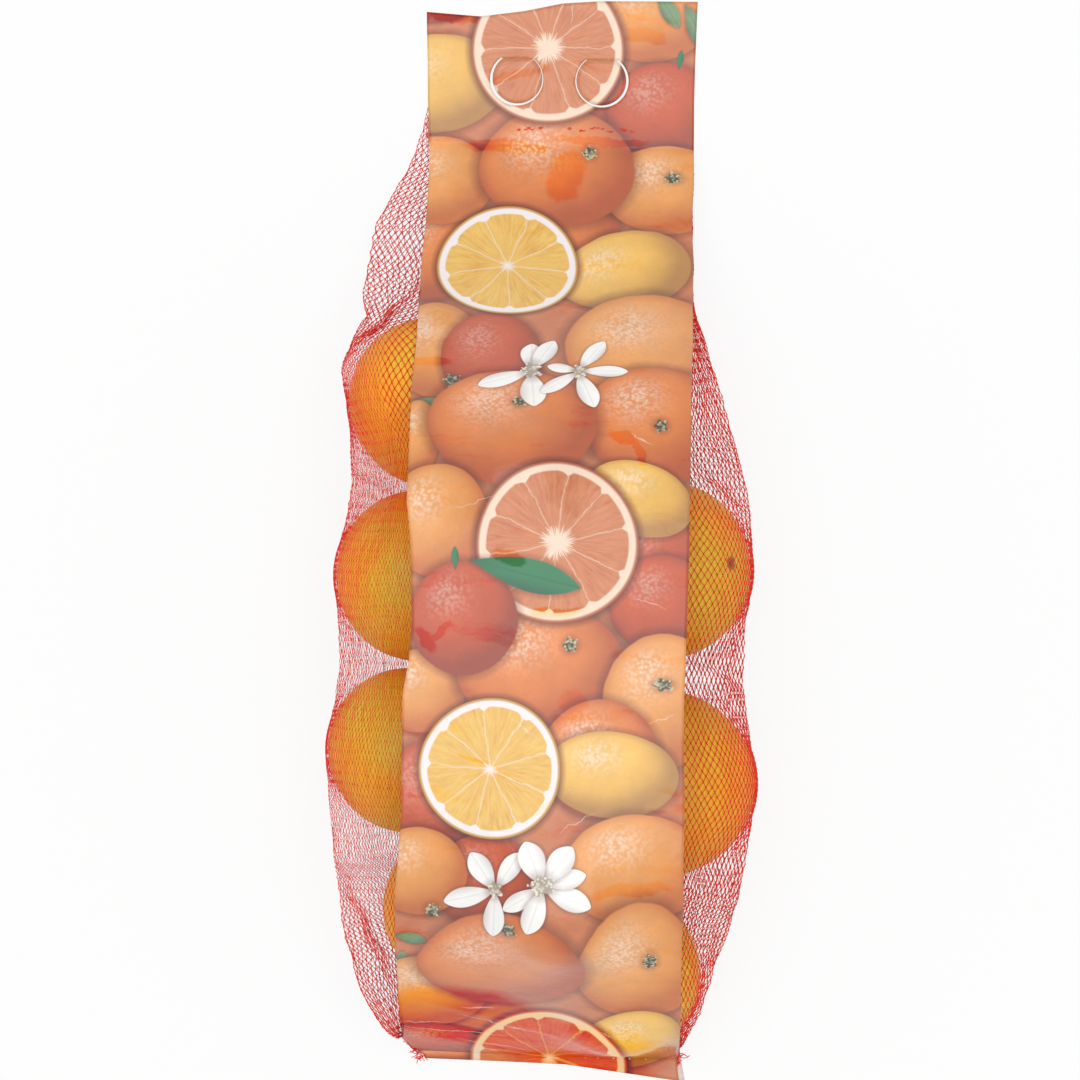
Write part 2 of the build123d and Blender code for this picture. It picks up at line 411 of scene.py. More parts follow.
def film_piece(name, points, faces, flat, prints, inside, depth=None, under=None):
    """A printed film. Its outside shows the print, and its inside and rim are the plain film.

    Where two films lie together, depth is their thickness, and under is the lower one's flat place,
    whose print its underside shows.
    """
    solid_points, solid, outer = thicken(points, faces, depth or film_mm())
    piece = new_piece(name, solid_points, solid, inside)
    flat = np.asarray(flat, float)
    plies = [flat] if under is None else [flat, under]
    zones = [int(ply[f[0], 1] // ZONE_LENGTH) for ply in plies for f in faces]
    zones = np.clip(zones, 0, len(prints) - 1).tolist()
    used = sorted(set(zones))
    for zone in used:
        piece.data.materials.append(prints[zone])
    index = np.zeros(len(solid), int)
    index[: len(zones)] = [used.index(zone) + 1 for zone in zones]
    piece.data.polygons.foreach_set("material_index", index)
    smooth = np.ones(len(solid), bool)
    smooth[2 * outer :] = False
    piece.data.polygons.foreach_set("use_smooth", smooth)
    set_attribute(piece, "film_mm", np.concatenate([plies[0], plies[-1]]))
    return piece


# Middle of the right finger hole. The left one mirrors it.
HOLE_X, HOLE_Y = 17.8, 191.1
# Distance from a finger hole's middle to the fold of its tab.
HINGE_RISE = 8.77
COLUMNS, BACK_COLUMNS = 81, 57
ROW_PITCH = 1.5


def hole_outline(side, radius, shift=(0.0, 0.0), steps=64):
    """Outline of a finger hole: a circle cut off straight along the fold of its tab."""
    hinge = JOINTS[f"tab_{side}_fold"]["pos_m"]
    cx, fold = hinge[0] / MM, hinge[1] / MM
    cy = fold - HINGE_RISE
    reach = math.sqrt(radius**2 - (fold - cy - shift[1]) ** 2)
    start = math.atan2(fold - cy - shift[1], reach)
    angles = np.linspace(math.pi - start, 2 * math.pi + start, steps)
    arc = np.stack([cx + shift[0] + radius * np.cos(angles), cy + shift[1] + radius * np.sin(angles)], 1)
    arc[0, 1] = arc[-1, 1] = fold
    chord = np.linspace(arc[-1], arc[0], 12)[1:-1]
    return np.concatenate([arc, chord])


def inside_outline(points, outline):
    """Which points lie inside a closed outline."""
    x, y = points[:, 0], points[:, 1]
    inside = np.zeros(len(points), bool)
    for (ax, ay), (bx, by) in zip(outline, np.roll(outline, -1, axis=0)):
        if ay == by:
            continue
        crosses = (ay > y) != (by > y)
        inside ^= crosses & (x < ax + (y - ay) * (bx - ax) / (by - ay))
    return inside


def cut_sheet(points, outer, holes):
    """Triangles over plan points, with the holes left out."""
    clear = np.ones(len(points), bool)
    for hole in holes:
        near = np.linalg.norm(points[:, None, :] - hole[None, :, :], axis=2).min(1) < 0.55
        clear &= ~near & ~inside_outline(points, hole)
    clear[:outer] = True
    corners, edges = [Vector(p) for p in points[clear]], []
    for hole in holes:
        first = len(corners)
        corners += [Vector(p) for p in hole]
        edges += [(first + i, first + (i + 1) % len(hole)) for i in range(len(hole))]
    placed, _, faces, *_ = delaunay_2d_cdt(corners, edges, [], 0, 1e-5)
    flat = np.array([tuple(v) for v in placed])
    middles = np.array([flat[list(f)].mean(0) for f in faces])
    keep = np.ones(len(faces), bool)
    for hole in holes:
        keep &= ~inside_outline(middles, hole)
    return flat, [tuple(f) for f, k in zip(faces, keep) if k]


def seam_height(y):
    """Height of the front film over the top weld and the header."""
    return np.interp(y, (HEAD_Y, HEADER_Y + 1, HEADER_Y + 7, HEADER_Y + 14), (2.6, 1.9, 1.1, HEADER_Z))


def front_height(x, y, band):
    """Height of the front film's outside at a place in the plan."""
    over = band.height(x, np.clip(y, FOOT_Y, HEAD_Y)) + crease_height(x, y)
    calm = np.clip((HEAD_Y + 4 - y) / 8, 0, 1)
    head = seam_height(y) + header_wave(x, y)
    height = np.where(y > HEAD_Y, head, over * calm + seam_height(y) * (1 - calm))
    return np.maximum(height, 0.75)


def header_wave(x, y):
    """Slight unevenness of the header away from the finger tabs."""
    from_tab = np.hypot(np.abs(x) - HOLE_X, y - HOLE_Y)
    away = np.clip((from_tab - hole_mm()) / 6, 0, 1)
    return away * np.clip((y - HEADER_Y) / 6, 0, 1) * (0.25 + 0.3 * waves(x, y, 8, 38.0))


def film_run(band):
    """Length along the front film's middle at places over the bag's length."""
    fine = np.linspace(FOOT_Y - 3, HEAD_Y, 2400)
    profile = front_height(np.zeros_like(fine), fine, band)
    return fine, np.concatenate([[0], np.cumsum(np.hypot(np.diff(fine), np.diff(profile)))])


def front_film(band, prints, inside):
    """The printed front film, from the hem over the fruit to the header with its finger holes."""
    fine, run = film_run(band)
    along = np.interp(np.linspace(0, run[-1], int(run[-1] / ROW_PITCH) + 1), run, fine)
    across = np.linspace(0, 1, COLUMNS)
    s, a = np.meshgrid(across, along)
    x, y = film_plan(s, a)
    z = front_height(x, y, band)
    grid = np.stack([x, y, z], -1).reshape(-1, 3)
    flat = np.stack([x, np.interp(a, fine, run), 0 * x], -1).reshape(-1, 3)
    faces = [tuple(f) for f in grid_faces(len(along), COLUMNS)]

    head_along = np.linspace(HEAD_Y, HEADER_TOP, int((HEADER_TOP - HEAD_Y) / ROW_PITCH) + 1)
    s, a = np.meshgrid(across, head_along)
    x, y = film_plan(s, a)
    y[0] = HEAD_Y
    holes = [hole_outline(side, hole_mm()) for side in ("left", "right")]
    plan, triangles = cut_sheet(np.stack([x.ravel(), y.ravel()], 1), COLUMNS, holes)
    triangles = within_outline(plan, triangles, x, y)
    head = np.column_stack([plan, front_height(plan[:, 0], plan[:, 1], band)])
    head_flat = np.column_stack([plan[:, 0], run[-1] + plan[:, 1] - HEAD_Y, 0 * plan[:, 0]])
    first = len(grid) - COLUMNS
    renumber = {}
    for i in range(COLUMNS):
        near = int(np.argmin(np.hypot(plan[:, 0] - grid[first + i, 0], plan[:, 1] - grid[first + i, 1])))
        renumber[near] = first + i
    extra = [i for i in range(len(plan)) if i not in renumber]
    for i in extra:
        renumber[i] = len(grid) + len(renumber) - COLUMNS
    order = np.array(extra, int)
    points = np.concatenate([grid, head[order]])
    flat = np.concatenate([flat, head_flat[order]])
    faces += [tuple(renumber[v] for v in face) for face in triangles]
    piece = film_piece("film_front", points, faces, flat, prints, inside)
    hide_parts("front_band", "header_front")
    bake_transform(piece)
    return piece


def within_outline(plan, triangles, x, y):
    """Triangles that lie within the outline of a grid of plan points."""
    rows = [np.stack([x[0], y[0]], 1), np.stack([x[:, -1], y[:, -1]], 1)[1:]]
    rows += [np.stack([x[-1], y[-1]], 1)[::-1][1:], np.stack([x[:, 0], y[:, 0]], 1)[::-1][1:-1]]
    outline = np.concatenate(rows)
    middles = np.array([plan[list(t)].mean(0) for t in triangles])
    area = np.array([abs(np.cross(plan[t[1]] - plan[t[0]], plan[t[2]] - plan[t[0]])) for t in triangles])
    keep = inside_outline(middles, outline) & (area > 1e-4)
    return [t for t, k in zip(triangles, keep) if k]


def back_film(prints, inside):
    """The printed back film, flat under the fruit from the hem to the header's top."""
    along = np.linspace(FOOT_Y - 3.0, HEADER_TOP, int((HEADER_TOP - FOOT_Y + 3) / ROW_PITCH / 1.6) + 1)
    s, a = np.meshgrid(np.linspace(0, 1, BACK_COLUMNS), along)
    x, y = film_plan(s, a)
    # The back film shows a little beyond the front one at the hem's right end.
    x = x + 2.4 * np.clip((FOOT_Y + 30 - a) / 30, 0, 1) ** 2
    holes = [hole_outline(side, hole_mm()) for side in ("left", "right")]
    plan, triangles = cut_sheet(np.stack([x.ravel(), y.ravel()], 1), BACK_COLUMNS, holes)
    triangles = within_outline(plan, triangles, x, y)
    calm = np.clip((from_tabs(plan) - hole_mm()) / 5, 0, 1)
    z = 0.02 + 0.12 * calm * (1 + waves(plan[:, 0], plan[:, 1], 12, 50.0))
    points = np.column_stack([plan, z])
    flat = back_place(plan)
    turned = [tuple(reversed(t)) for t in triangles]
    piece = film_piece("film_back", points, turned, flat, prints, inside)
    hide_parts("back_band", "header_back")
    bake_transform(piece)
    return piece


def back_place(plan):
    """Place on the flat back film, seen from its printed outside."""
    hem = film_plan(np.linspace(0, 1, BACK_COLUMNS), np.full(BACK_COLUMNS, FOOT_Y - 3.0))[1].min()
    return np.column_stack([-plan[:, 0], plan[:, 1] - hem, 0 * plan[:, 0]])


def from_tabs(plan):
    """Distance in the plan from the nearer finger hole's middle."""
    return np.hypot(np.abs(plan[:, 0]) - HOLE_X, plan[:, 1] - HOLE_Y)


# How far each tab has shifted in its hole, and how thick its two plies lie.
TAB_SHIFT = {"left": (0.33, 0.24), "right": (-0.28, 0.16)}
TAB_DEPTH = 0.7


def finger_tab(side, prints, inside, band):
    """The piece of header that a finger pushes out of a finger hole, in two plies."""
    outline = hole_outline(side, tab_mm(), TAB_SHIFT[side], 56)
    middle, count = outline.mean(0), len(outline)
    rings = [middle + (outline - middle) * share for share in (1, 0.75, 0.5, 0.25)]
    plan = np.concatenate(rings + [middle[None]])
    faces = [tuple(f) for f in grid_faces(4, count, closed=True)]
    faces += [(3 * count + i, 3 * count + (i + 1) % count, 4 * count) for i in range(count)]
    _, run = film_run(band)
    points = np.column_stack([plan, np.full(len(plan), HEADER_Z)])
    flat = np.column_stack([plan[:, 0], run[-1] + plan[:, 1] - HEAD_Y, 0 * plan[:, 0]])
    piece = film_piece(f"finger_tab_film_{side}", points, faces, flat, prints, inside,
                       depth=TAB_DEPTH, under=back_place(plan))
    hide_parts(f"finger_tab_{side}")
    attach(piece, f"tab_{side}")
    size = (2 * tab_mm() * MM, 2 * tab_mm() * MM)
    return piece


# ---- net

# Threads stretch thin where the cells are drawn narrow: cell width, then the radius between knots and at
# knots as shares of a slack thread's thickness.
THREADS = ((1.1, 0.21, 0.39), (1.7, 0.27, 0.48), (2.9, 0.5, 1.04))
CELL_WIDTH = 1.7
NET_SIDES = {
    # side: sign, panels along
    "left": (-1, 3),
    "right": (1, 2),
}
# Width of the net's cells over the bag's length: y, near the band, further out, cells near the band.
SPREAD = {
    "left": (
        (-219.0, 1.7, 1.9, 4), (-200.0, 2.4, 2.6, 4), (-165.0, 2.5, 2.7, 4), (-135.0, 1.9, 1.7, 4),
        (-110.0, 1.65, 1.6, 4), (-60.0, 1.7, 1.6, 4), (-20.0, 1.75, 1.62, 4), (15.0, 1.5, 1.2, 4),
        (40.0, 2.4, 1.15, 4), (62.0, 3.0, 1.7, 5), (84.0, 3.0, 2.5, 5), (110.0, 2.9, 2.9, 4),
        (150.0, 2.7, 2.7, 4), (185.0, 2.0, 2.0, 4),
    ),
    "right": (
        (-224.0, 1.6, 1.6, 4), (-200.0, 2.4, 2.4, 4), (-160.0, 2.9, 2.8, 4), (-95.0, 3.0, 2.9, 4),
        (-50.0, 2.85, 2.8, 4), (-10.0, 2.9, 2.8, 4), (40.0, 2.9, 2.8, 4), (90.0, 2.6, 2.6, 4),
        (170.0, 2.0, 2.0, 4),
    ),
}
# Cells that lie under the film, out to its middle, and their width.
HIDDEN_CELLS, HIDDEN_WIDTH = 22, 2.7
# Near both welds the net stops this many cells inside the film's edge. Between these places it runs on.
SHORT_CELLS, HIDDEN_FROM, HIDDEN_TO = 4, -206, 158
# Where the net starts and ends along the bag.
NET_FOOT, NET_HEAD = -218.0, {"left": 183.5, "right": 168.0}
# Sections that carry the net, points on each, the point whose run spaces the rows, rounds of smoothing.
SECTIONS, SECTION_POINTS, GUIDE_POINT, SMOOTHING = 260, 121, 56, 14
# Gaps from floor, fruit and film that the sections keep, and those that each knot keeps at the end.
FLOOR_GAP, FRUIT_GAP, FILM_GAP = 0.5, 0.35, 0.45
KNOT_FLOOR_GAP, KNOT_FRUIT_GAP, KNOT_FILM_GAP = 0.42, 0.32, 0.4
# How far the two threads of a pair lie from the net's middle surface.
PAIR_OFFSET = 0.05
# Where the slack net reaches out beyond the fruit: y, distance from the bag's middle.
REACH = {
    "left": (
        (-219.0, 46.5), (-213.0, 54.0), (-203.0, 63.0), (-190.0, 72.0), (-165.0, 80.9), (-140.0, 84.4),
        (-123.5, 86.2), (-106.0, 88.0), (-88.0, 88.6), (-54.0, 84.5), (-16.5, 86.9), (18.9, 81.2),
        (54.8, 83.6), (64.0, 85.3), (80.0, 83.6), (105.0, 78.8), (130.0, 75.3),
        (155.5, 61.3), (166.0, 58.0), (181.5, 54.2), (184.0, 52.5),
    ),
    "right": (
        (-224.0, 59.0), (-206.6, 60.3), (-194.0, 67.1), (-148.0, 80.5), (-127.4, 84.2), (-99.0, 86.6),
        (-56.6, 80.5), (-32.0, 81.4), (-11.0, 83.4), (17.5, 82.0), (38.0, 76.2), (66.8, 67.2),
        (95.5, 57.5), (110.0, 54.0), (160.0, 50.0), (184.0, 48.0),
    ),
}
NEIGHBOURS = (
    ("left_1", "left_2"), ("left_2", "left_3"), ("left_3", "left_4"), ("right_1", "right_2"),
    ("right_2", "right_3"), ("right_3", "right_4"), ("raised_1", "raised_2"), ("raised_2", "raised_3"),
    ("raised_1", "left_1"), ("raised_2", "left_2"), ("raised_3", "left_4"), ("raised_2", "right_2"),
    ("raised_3", "right_3"), ("raised_1", "right_1"),
)
# How much the net draws in between two neighbours.
PINCH = 10.0
# Gathers that pucker the net: x, y at each end, strength, width.
GATHERS = {
    "left": (
        (-46.0, 112.0, -88.0, 70.0, 0.86, 7.5), (-84.0, 80.0, -88.0, 54.0, 0.7, 3.5),
        (-60.0, 15.0, -86.0, 27.0, 0.6, 4.0), (-56.0, -192.0, -82.0, -139.0, 0.7, 4.5),
        (-56.0, -52.0, -86.0, -50.0, 0.45, 4.0), (-50.0, 124.0, -70.0, 104.0, 0.4, 4.0),
    ),
    "right": (
        (56.0, -47.0, 84.0, -60.0, 0.65, 4.5), (57.0, -206.0, 70.0, -170.0, 0.7, 4.0),
        (56.0, 32.0, 82.0, 12.0, 0.5, 4.0), (56.0, -136.0, 82.0, -120.0, 0.35, 4.0),
    ),
}
# How far in from the film's edge the net's path ends, below the fruit.
TUCK = 11.0


def swept_fruit():
    """Fruit, and the shrunken balls between neighbours that the net stretches over."""
    balls = [(centre, radius) for centre, radius in FRUIT.values()]
    for a, b in NEIGHBOURS:
        (ca, ra), (cb, rb) = FRUIT[f"orange_{a}"], FRUIT[f"orange_{b}"]
        for t in np.linspace(0, 1, 9)[1:-1]:
            balls.append((ca + (cb - ca) * t, ra + (rb - ra) * t - PINCH * 4 * t * (1 - t)))
    return balls


def convex_hull(points):
    """Corners of the convex hull, anticlockwise."""
    ordered = sorted(set(map(tuple, np.round(points, 4))))

    def half(sequence):
        chain = []
        for p in sequence:
            while len(chain) > 1:
                (ax, ay), (bx, by) = chain[-2:]
                if (bx - ax) * (p[1] - ay) - (by - ay) * (p[0] - ax) > 0:
                    break
                chain.pop()
            chain.append(p)
        return chain[:-1]

    return np.array(half(ordered) + half(ordered[::-1]))


def net_section(side, y, balls, band):
    """The net's path round one side of the bag at one y, from the film's middle round to the floor."""
    sign = NET_SIDES[side][0]
    left, right = float(table(EDGES, 1, y)), float(table(EDGES, 2, y))
    edge, middle = (left if sign < 0 else right), (left + right) / 2
    heel = edge - sign * TUCK
    turn = np.linspace(0, 2 * np.pi, 49)[:-1]
    rings = []
    for centre, radius in balls:
        flat = radius**2 - (y - centre[1]) ** 2
        if flat > 0:
            size = math.sqrt(flat) + FRUIT_GAP
            rings.append(np.stack([centre[0] + size * np.cos(turn), centre[2] + size * np.sin(turn)], 1))
    top_z, heel_z, edge_z = (film_under(x, y, band) for x in (middle, heel, edge))
    if rings:
        fruit = convex_hull(np.concatenate(rings))
        upper = fruit[fruit[:, 1] >= fruit[:, 1].mean()]
        upper = upper[np.argsort(upper[:, 0])]
        if upper[0, 0] < middle < upper[-1, 0]:
            top_z = min(top_z, np.interp(middle, upper[:, 0], upper[:, 1]) + 0.5)
        if upper[0, 0] < heel < upper[-1, 0]:
            over = np.interp(heel, upper[:, 0], upper[:, 1])
            heel_z, edge_z = min(heel_z, over + 0.5), min(edge_z, over + 0.5)
    reach = sign * float(table(REACH[side], 1, y))
    bulge = FLOOR_GAP + 0.45 * (edge_z - FLOOR_GAP)
    if rings:
        widest = max(rings, key=lambda ring: (sign * ring[:, 0]).max())
        bulge = float(widest[np.argmax(sign * widest[:, 0]), 1])
    points = [(middle, top_z), (heel, heel_z), (heel, FLOOR_GAP), (edge, FLOOR_GAP), (reach, bulge)]
    if not rings or heel_z < 40:
        points.append((edge, edge_z))
    for ring in rings:
        outer, high = sign * (ring[:, 0] - heel) > 0, ring[:, 1] > heel_z
        points += [tuple(p) for p in ring[(sign * (ring[:, 0] - middle) > 0) & (outer | high)]]
    hull = convex_hull(np.array(points))
    if sign > 0:
        hull = hull[::-1]
    start = int(np.argmin(np.hypot(hull[:, 0] - middle, hull[:, 1] - top_z)))
    hull = np.roll(hull, -start, axis=0)
    stop = int(np.argmin(np.hypot(hull[:, 0] - heel, hull[:, 1] - FLOOR_GAP)))
    return hull[: stop + 1]


def film_under(x, y, band):
    """Height just under the front film."""
    return max(float(front_height(np.array([x]), np.array([y]), band)[0]) - film_mm() - FILM_GAP, 0.7)


def along_path(path, shares):
    """Points at shares of a path's length."""
    steps = np.concatenate([[0], np.cumsum(np.linalg.norm(np.diff(path, axis=0), axis=1))])
    return np.stack([np.interp(shares * steps[-1], steps, path[:, i]) for i in range(path.shape[1])], -1)


def net_surface(side, band):
    """One side of the net, on a grid of rows and half cells: knot places, which exist, cell widths."""
    sign, cells = NET_SIDES[side][0], getattr(chosen("net"), f"cells_{side}")
    balls = swept_fruit()
    stations = np.linspace(NET_FOOT, NET_HEAD[side], SECTIONS)
    shares = np.linspace(0, 1, SECTION_POINTS)
    sections = [net_section(side, y, balls, band) for y in stations]
    paths = np.array([along_path(path, shares) for path in sections])
    for _ in range(SMOOTHING):
        paths[1:-1] = (paths[:-2] + 2 * paths[1:-1] + paths[2:]) / 4
    lengths = np.linalg.norm(np.diff(paths, axis=1), axis=2).sum(1)
    edges = sign * table(EDGES, 1 if sign < 0 else 2, stations)
    outward = np.maximum.accumulate(sign * paths[..., 0], axis=1)
    under = np.array([np.interp(e, x, shares) for e, x in zip(edges, outward)]) * lengths
    guide = np.column_stack([paths[:, GUIDE_POINT, 0], stations, paths[:, GUIDE_POINT, 1]])
    run = np.concatenate([[0], np.cumsum(np.linalg.norm(np.diff(guide, axis=0), axis=1))])
    rows = int(run[-1] / row_mm())
    place = np.interp(np.linspace(0, run[-1], rows + 1), run, stations)
    seed = 20 if sign < 0 else 40
    r, c = np.meshgrid(np.arange(rows + 1), np.arange(2 * cells + 1), indexing="ij")
    cell = c / 2 - HIDDEN_CELLS
    across = 2 * cell + 14
    y = place[r] + 1.1 * waves(across * 0.9, r * 1.2, seed + 2, 34.0)
    y = np.clip(y, stations[0], stations[-1])
    near, far, count = (table(SPREAD[side], k, y) for k in (1, 2, 3))
    from_edge = HIDDEN_WIDTH * np.minimum(cell, 0) + near * np.clip(cell, 0, count)
    from_edge += far * np.maximum(cell - count, 0)
    from_edge += 0.9 * waves(across * 0.8, r * 1.1, seed, 28.0) + 0.35 * waves(across, r, seed + 1, 9.0)
    at = (y - stations[0]) / (stations[-1] - stations[0]) * (len(stations) - 1)
    i = np.clip(at.astype(int), 0, len(stations) - 2)
    t = at - i
    length = lengths[i] * (1 - t) + lengths[i + 1] * t
    share = (from_edge + under[i] * (1 - t) + under[i + 1] * t) / length
    exists = (share >= 0) & (share <= 1)
    exists &= (cell >= -SHORT_CELLS) | ((y > HIDDEN_FROM) & (y < HIDDEN_TO))
    col = np.clip(share, 0, 1) * (len(shares) - 1)
    j = np.clip(col.astype(int), 0, len(shares) - 2)
    u = col - j
    xz = sum(
        paths[i + di, j + dj] * (np.where(di, t, 1 - t) * np.where(dj, u, 1 - u))[..., None]
        for di in (0, 1)
        for dj in (0, 1)
    )
    points = np.stack([xz[..., 0], y, xz[..., 1]], -1)
    widths = np.where(cell < 0, HIDDEN_WIDTH, np.where(cell < count, near, far))
    return settle(points, side, band), exists, widths


def settle(points, side, band):
    """Pull the gathers together, loosen the net a little, and keep it off the fruit, film and floor."""
    sign = NET_SIDES[side][0]
    draw = np.random.default_rng(77 if sign < 0 else 78)
    x, y, z = points[..., 0], points[..., 1], points[..., 2]
    upper = np.clip((z - 3) / 10, 0.25, 1)
    for x0, y0, x1, y1, strength, width in GATHERS[side]:
        length = math.hypot(x1 - x0, y1 - y0)
        ux, uy = (x1 - x0) / length, (y1 - y0) / length
        along = (x - x0) * ux + (y - y0) * uy
        off = -(x - x0) * uy + (y - y0) * ux
        off += 0.8 * np.sin(along * 0.35 + x0)
        fade = np.clip(1.2 - np.abs(along / length - 0.5) * 1.6, 0, 1)
        reach = np.exp(-((off / width) ** 2)) * fade * upper
        x, y = x + uy * off * strength * reach, y - ux * off * strength * reach
        z = z - 1.2 * strength * np.exp(-((off / 1.5) ** 2)) * reach
    slack = waves(x * 0.8, y * 0.8 + z * 0.6, 60 + sign, 24.0) * 0.5
    z = z + slack * np.clip((z - 1.5) / 8, 0, 1)
    x = x + 0.2 * waves(y, z, 63 + sign, 17.0) * np.clip(z / 8, 0.2, 1)
    jitter = draw.normal(0, 0.085, points.shape)
    points = np.stack([x, y, z], -1) + jitter
    for centre, radius in FRUIT.values():
        away = points - centre
        distance = np.linalg.norm(away, axis=-1)
        short = np.maximum(radius + KNOT_FRUIT_GAP - distance, 0)
        points = points + away / distance[..., None] * short[..., None]
    ceiling = front_height(points[..., 0], points[..., 1], band) - film_mm() - KNOT_FILM_GAP
    left, right = table(EDGES, 1, points[..., 1]), table(EDGES, 2, points[..., 1])
    beneath = (points[..., 0] > left - 0.6) & (points[..., 0] < right + 0.6)
    top_half = points[..., 2] > 0.5 * ceiling
    points[..., 2] = np.where(beneath & top_half, np.minimum(points[..., 2], ceiling), points[..., 2])
    points[..., 2] = np.maximum(points[..., 2], KNOT_FLOOR_GAP)
    return points


def tube(path, normals, radius, sides=3):
    """A thin tube along a path: points, quads and the two end caps."""
    tangent = np.gradient(path, axis=0)
    tangent /= np.maximum(np.linalg.norm(tangent, axis=1), 1e-9)[:, None]
    across = np.cross(tangent, normals)
    across /= np.maximum(np.linalg.norm(across, axis=1), 1e-9)[:, None]
    upward = np.cross(across, tangent)
    turn = np.arange(sides) / sides * 2 * np.pi - np.pi / 2
    ring = np.cos(turn)[:, None] * across[:, None, :] + np.sin(turn)[:, None] * upward[:, None, :]
    points = path[:, None, :] + ring * radius[:, None, None]
    k, i = np.meshgrid(np.arange(len(path) - 1), np.arange(sides), indexing="ij")
    first, after = k * sides + i, k * sides + (i + 1) % sides
    quads = np.stack([first, after, after + sides, first + sides], -1).reshape(-1, 4)
    caps = np.array([np.arange(sides)[::-1], (len(path) - 1) * sides + np.arange(sides)])
    return points.reshape(-1, 3), quads, caps


def join_tubes(tubes):
    """Points, quads and end caps of several tubes, numbered as one mesh."""
    starts = np.cumsum([0] + [len(points) for points, _, _ in tubes[:-1]])
    points = np.concatenate([points for points, _, _ in tubes])
    quads = np.concatenate([quads + start for (_, quads, _), start in zip(tubes, starts)])
    caps = np.concatenate([caps + start for (_, _, caps), start in zip(tubes, starts)])
    return points, quads, caps


def tube_piece(name, tubes, material):
    """A piece from a few tubes."""
    points, quads, caps = join_tubes(tubes)
    return new_piece(name, points, quads.tolist() + caps.tolist(), material)


def with_middles(values):
    """Values with the middle of each pair put between them."""
    out = np.empty((2 * len(values) - 1,) + values.shape[1:])
    out[::2] = values
    out[1::2] = (values[:-1] + values[1:]) / 2
    return out


def runs(mask):
    """Start and end of each stretch of true values, the end left out."""
    edges = np.flatnonzero(np.diff(np.concatenate([[0], mask.astype(int), [0]])))
    return list(zip(edges[::2], edges[1::2]))


def thread_mesh(name, threads, material):
    """One mesh from many threads, and the area they cover. Each has a path, normals and cell widths."""
    tubes, covered = [], 0.0
    for path, normals, widths in threads:
        radius = table(THREADS, 1, with_middles(widths))
        radius[::2] = table(THREADS, 2, widths)
        radius *= chosen("net").thread / MM
        tubes.append(tube(with_middles(path), with_middles(normals), radius))
        covered += np.linalg.norm(np.diff(path, axis=0), axis=1).sum() * 2 * radius.mean()
    return quick_mesh(name, *join_tubes(tubes), material), covered


def quick_mesh(name, points, quads, caps, material):
    """A mesh object from many quads and the caps at tube ends, in millimetres."""
    mesh = bpy.data.meshes.new(name)
    mesh.vertices.add(len(points))
    mesh.vertices.foreach_set("co", (points * MM).astype(np.float32).ravel())
    loops = np.concatenate([quads.ravel(), caps.ravel()])
    sizes = np.repeat([quads.shape[1], caps.shape[1]], [len(quads), len(caps)])
    starts = np.concatenate([[0], np.cumsum(sizes)[:-1]])
    smooth = np.repeat([True, False], [len(quads), len(caps)])
    mesh.loops.add(len(loops))
    mesh.loops.foreach_set("vertex_index", loops.astype(np.int32))
    mesh.polygons.add(len(sizes))
    mesh.polygons.foreach_set("loop_start", starts.astype(np.int32))
    mesh.polygons.foreach_set("use_smooth", smooth)
    mesh.materials.append(material)
    mesh.update(calc_edges=True)
    mesh.validate()
    piece = bpy.data.objects.new(name, mesh)
    bpy.context.scene.collection.objects.link(piece)
    return piece


def net_side(side, band, material):
    """One side of the net, in panels along its length. Pairs of zigzag threads meet at the knots."""
    (sign, panels), cells = NET_SIDES[side], getattr(chosen("net"), f"cells_{side}")
    knots, exists, widths = net_surface(side, band)
    rows = len(knots)
    along, over = np.gradient(knots, axis=0), np.gradient(knots, axis=1)
    normals = np.cross(over, along) * (1 if sign < 0 else -1)
    normals /= np.maximum(np.linalg.norm(normals, axis=2), 1e-9)[..., None]
    row = np.arange(rows)
    cuts = np.linspace(0, rows - 1, panels + 1).astype(int)
    pieces = []
    for number, (low, high) in enumerate(zip(cuts[:-1], cuts[1:]), 1):
        threads = []
        for turn in (1, -1):
            for cell in range(1, cells):
                column = 2 * cell + turn * (row % 2)
                in_panel = exists[row, column] & (row >= low) & (row <= high)
                for start, stop in runs(in_panel):
                    if stop - start > 1:
                        at = row[start:stop], column[start:stop]
                        path = knots[at] + normals[at] * PAIR_OFFSET * turn
                        threads.append((path, normals[at], widths[at]))
        piece, covered = thread_mesh(f"net_{side}_{number}", threads, material)
        share_shown = exists[low:high].mean()
        flat = (cells * CELL_WIDTH * share_shown * MM, (high - low) * row_mm() * MM)
        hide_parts("net")
        pieces.append(piece)
    return pieces


# ---- fruit


# How ripe the peel has turned, from greenish yellow to deep orange.
PEEL_TONES = {"orange_right_2": 0.12, "orange_right_3": 0.4, "orange_right_4": 0.1, "orange_left_1": 0.5,
              "orange_left_2": 0.42, "orange_left_3": 0.3, "orange_left_4": 0.25}
# Where the one stem end that shows points, and an orange's height as a share of its width.
SHOWN_STEM = (0.785, 0.105, 0.61)
SQUAT = 0.985


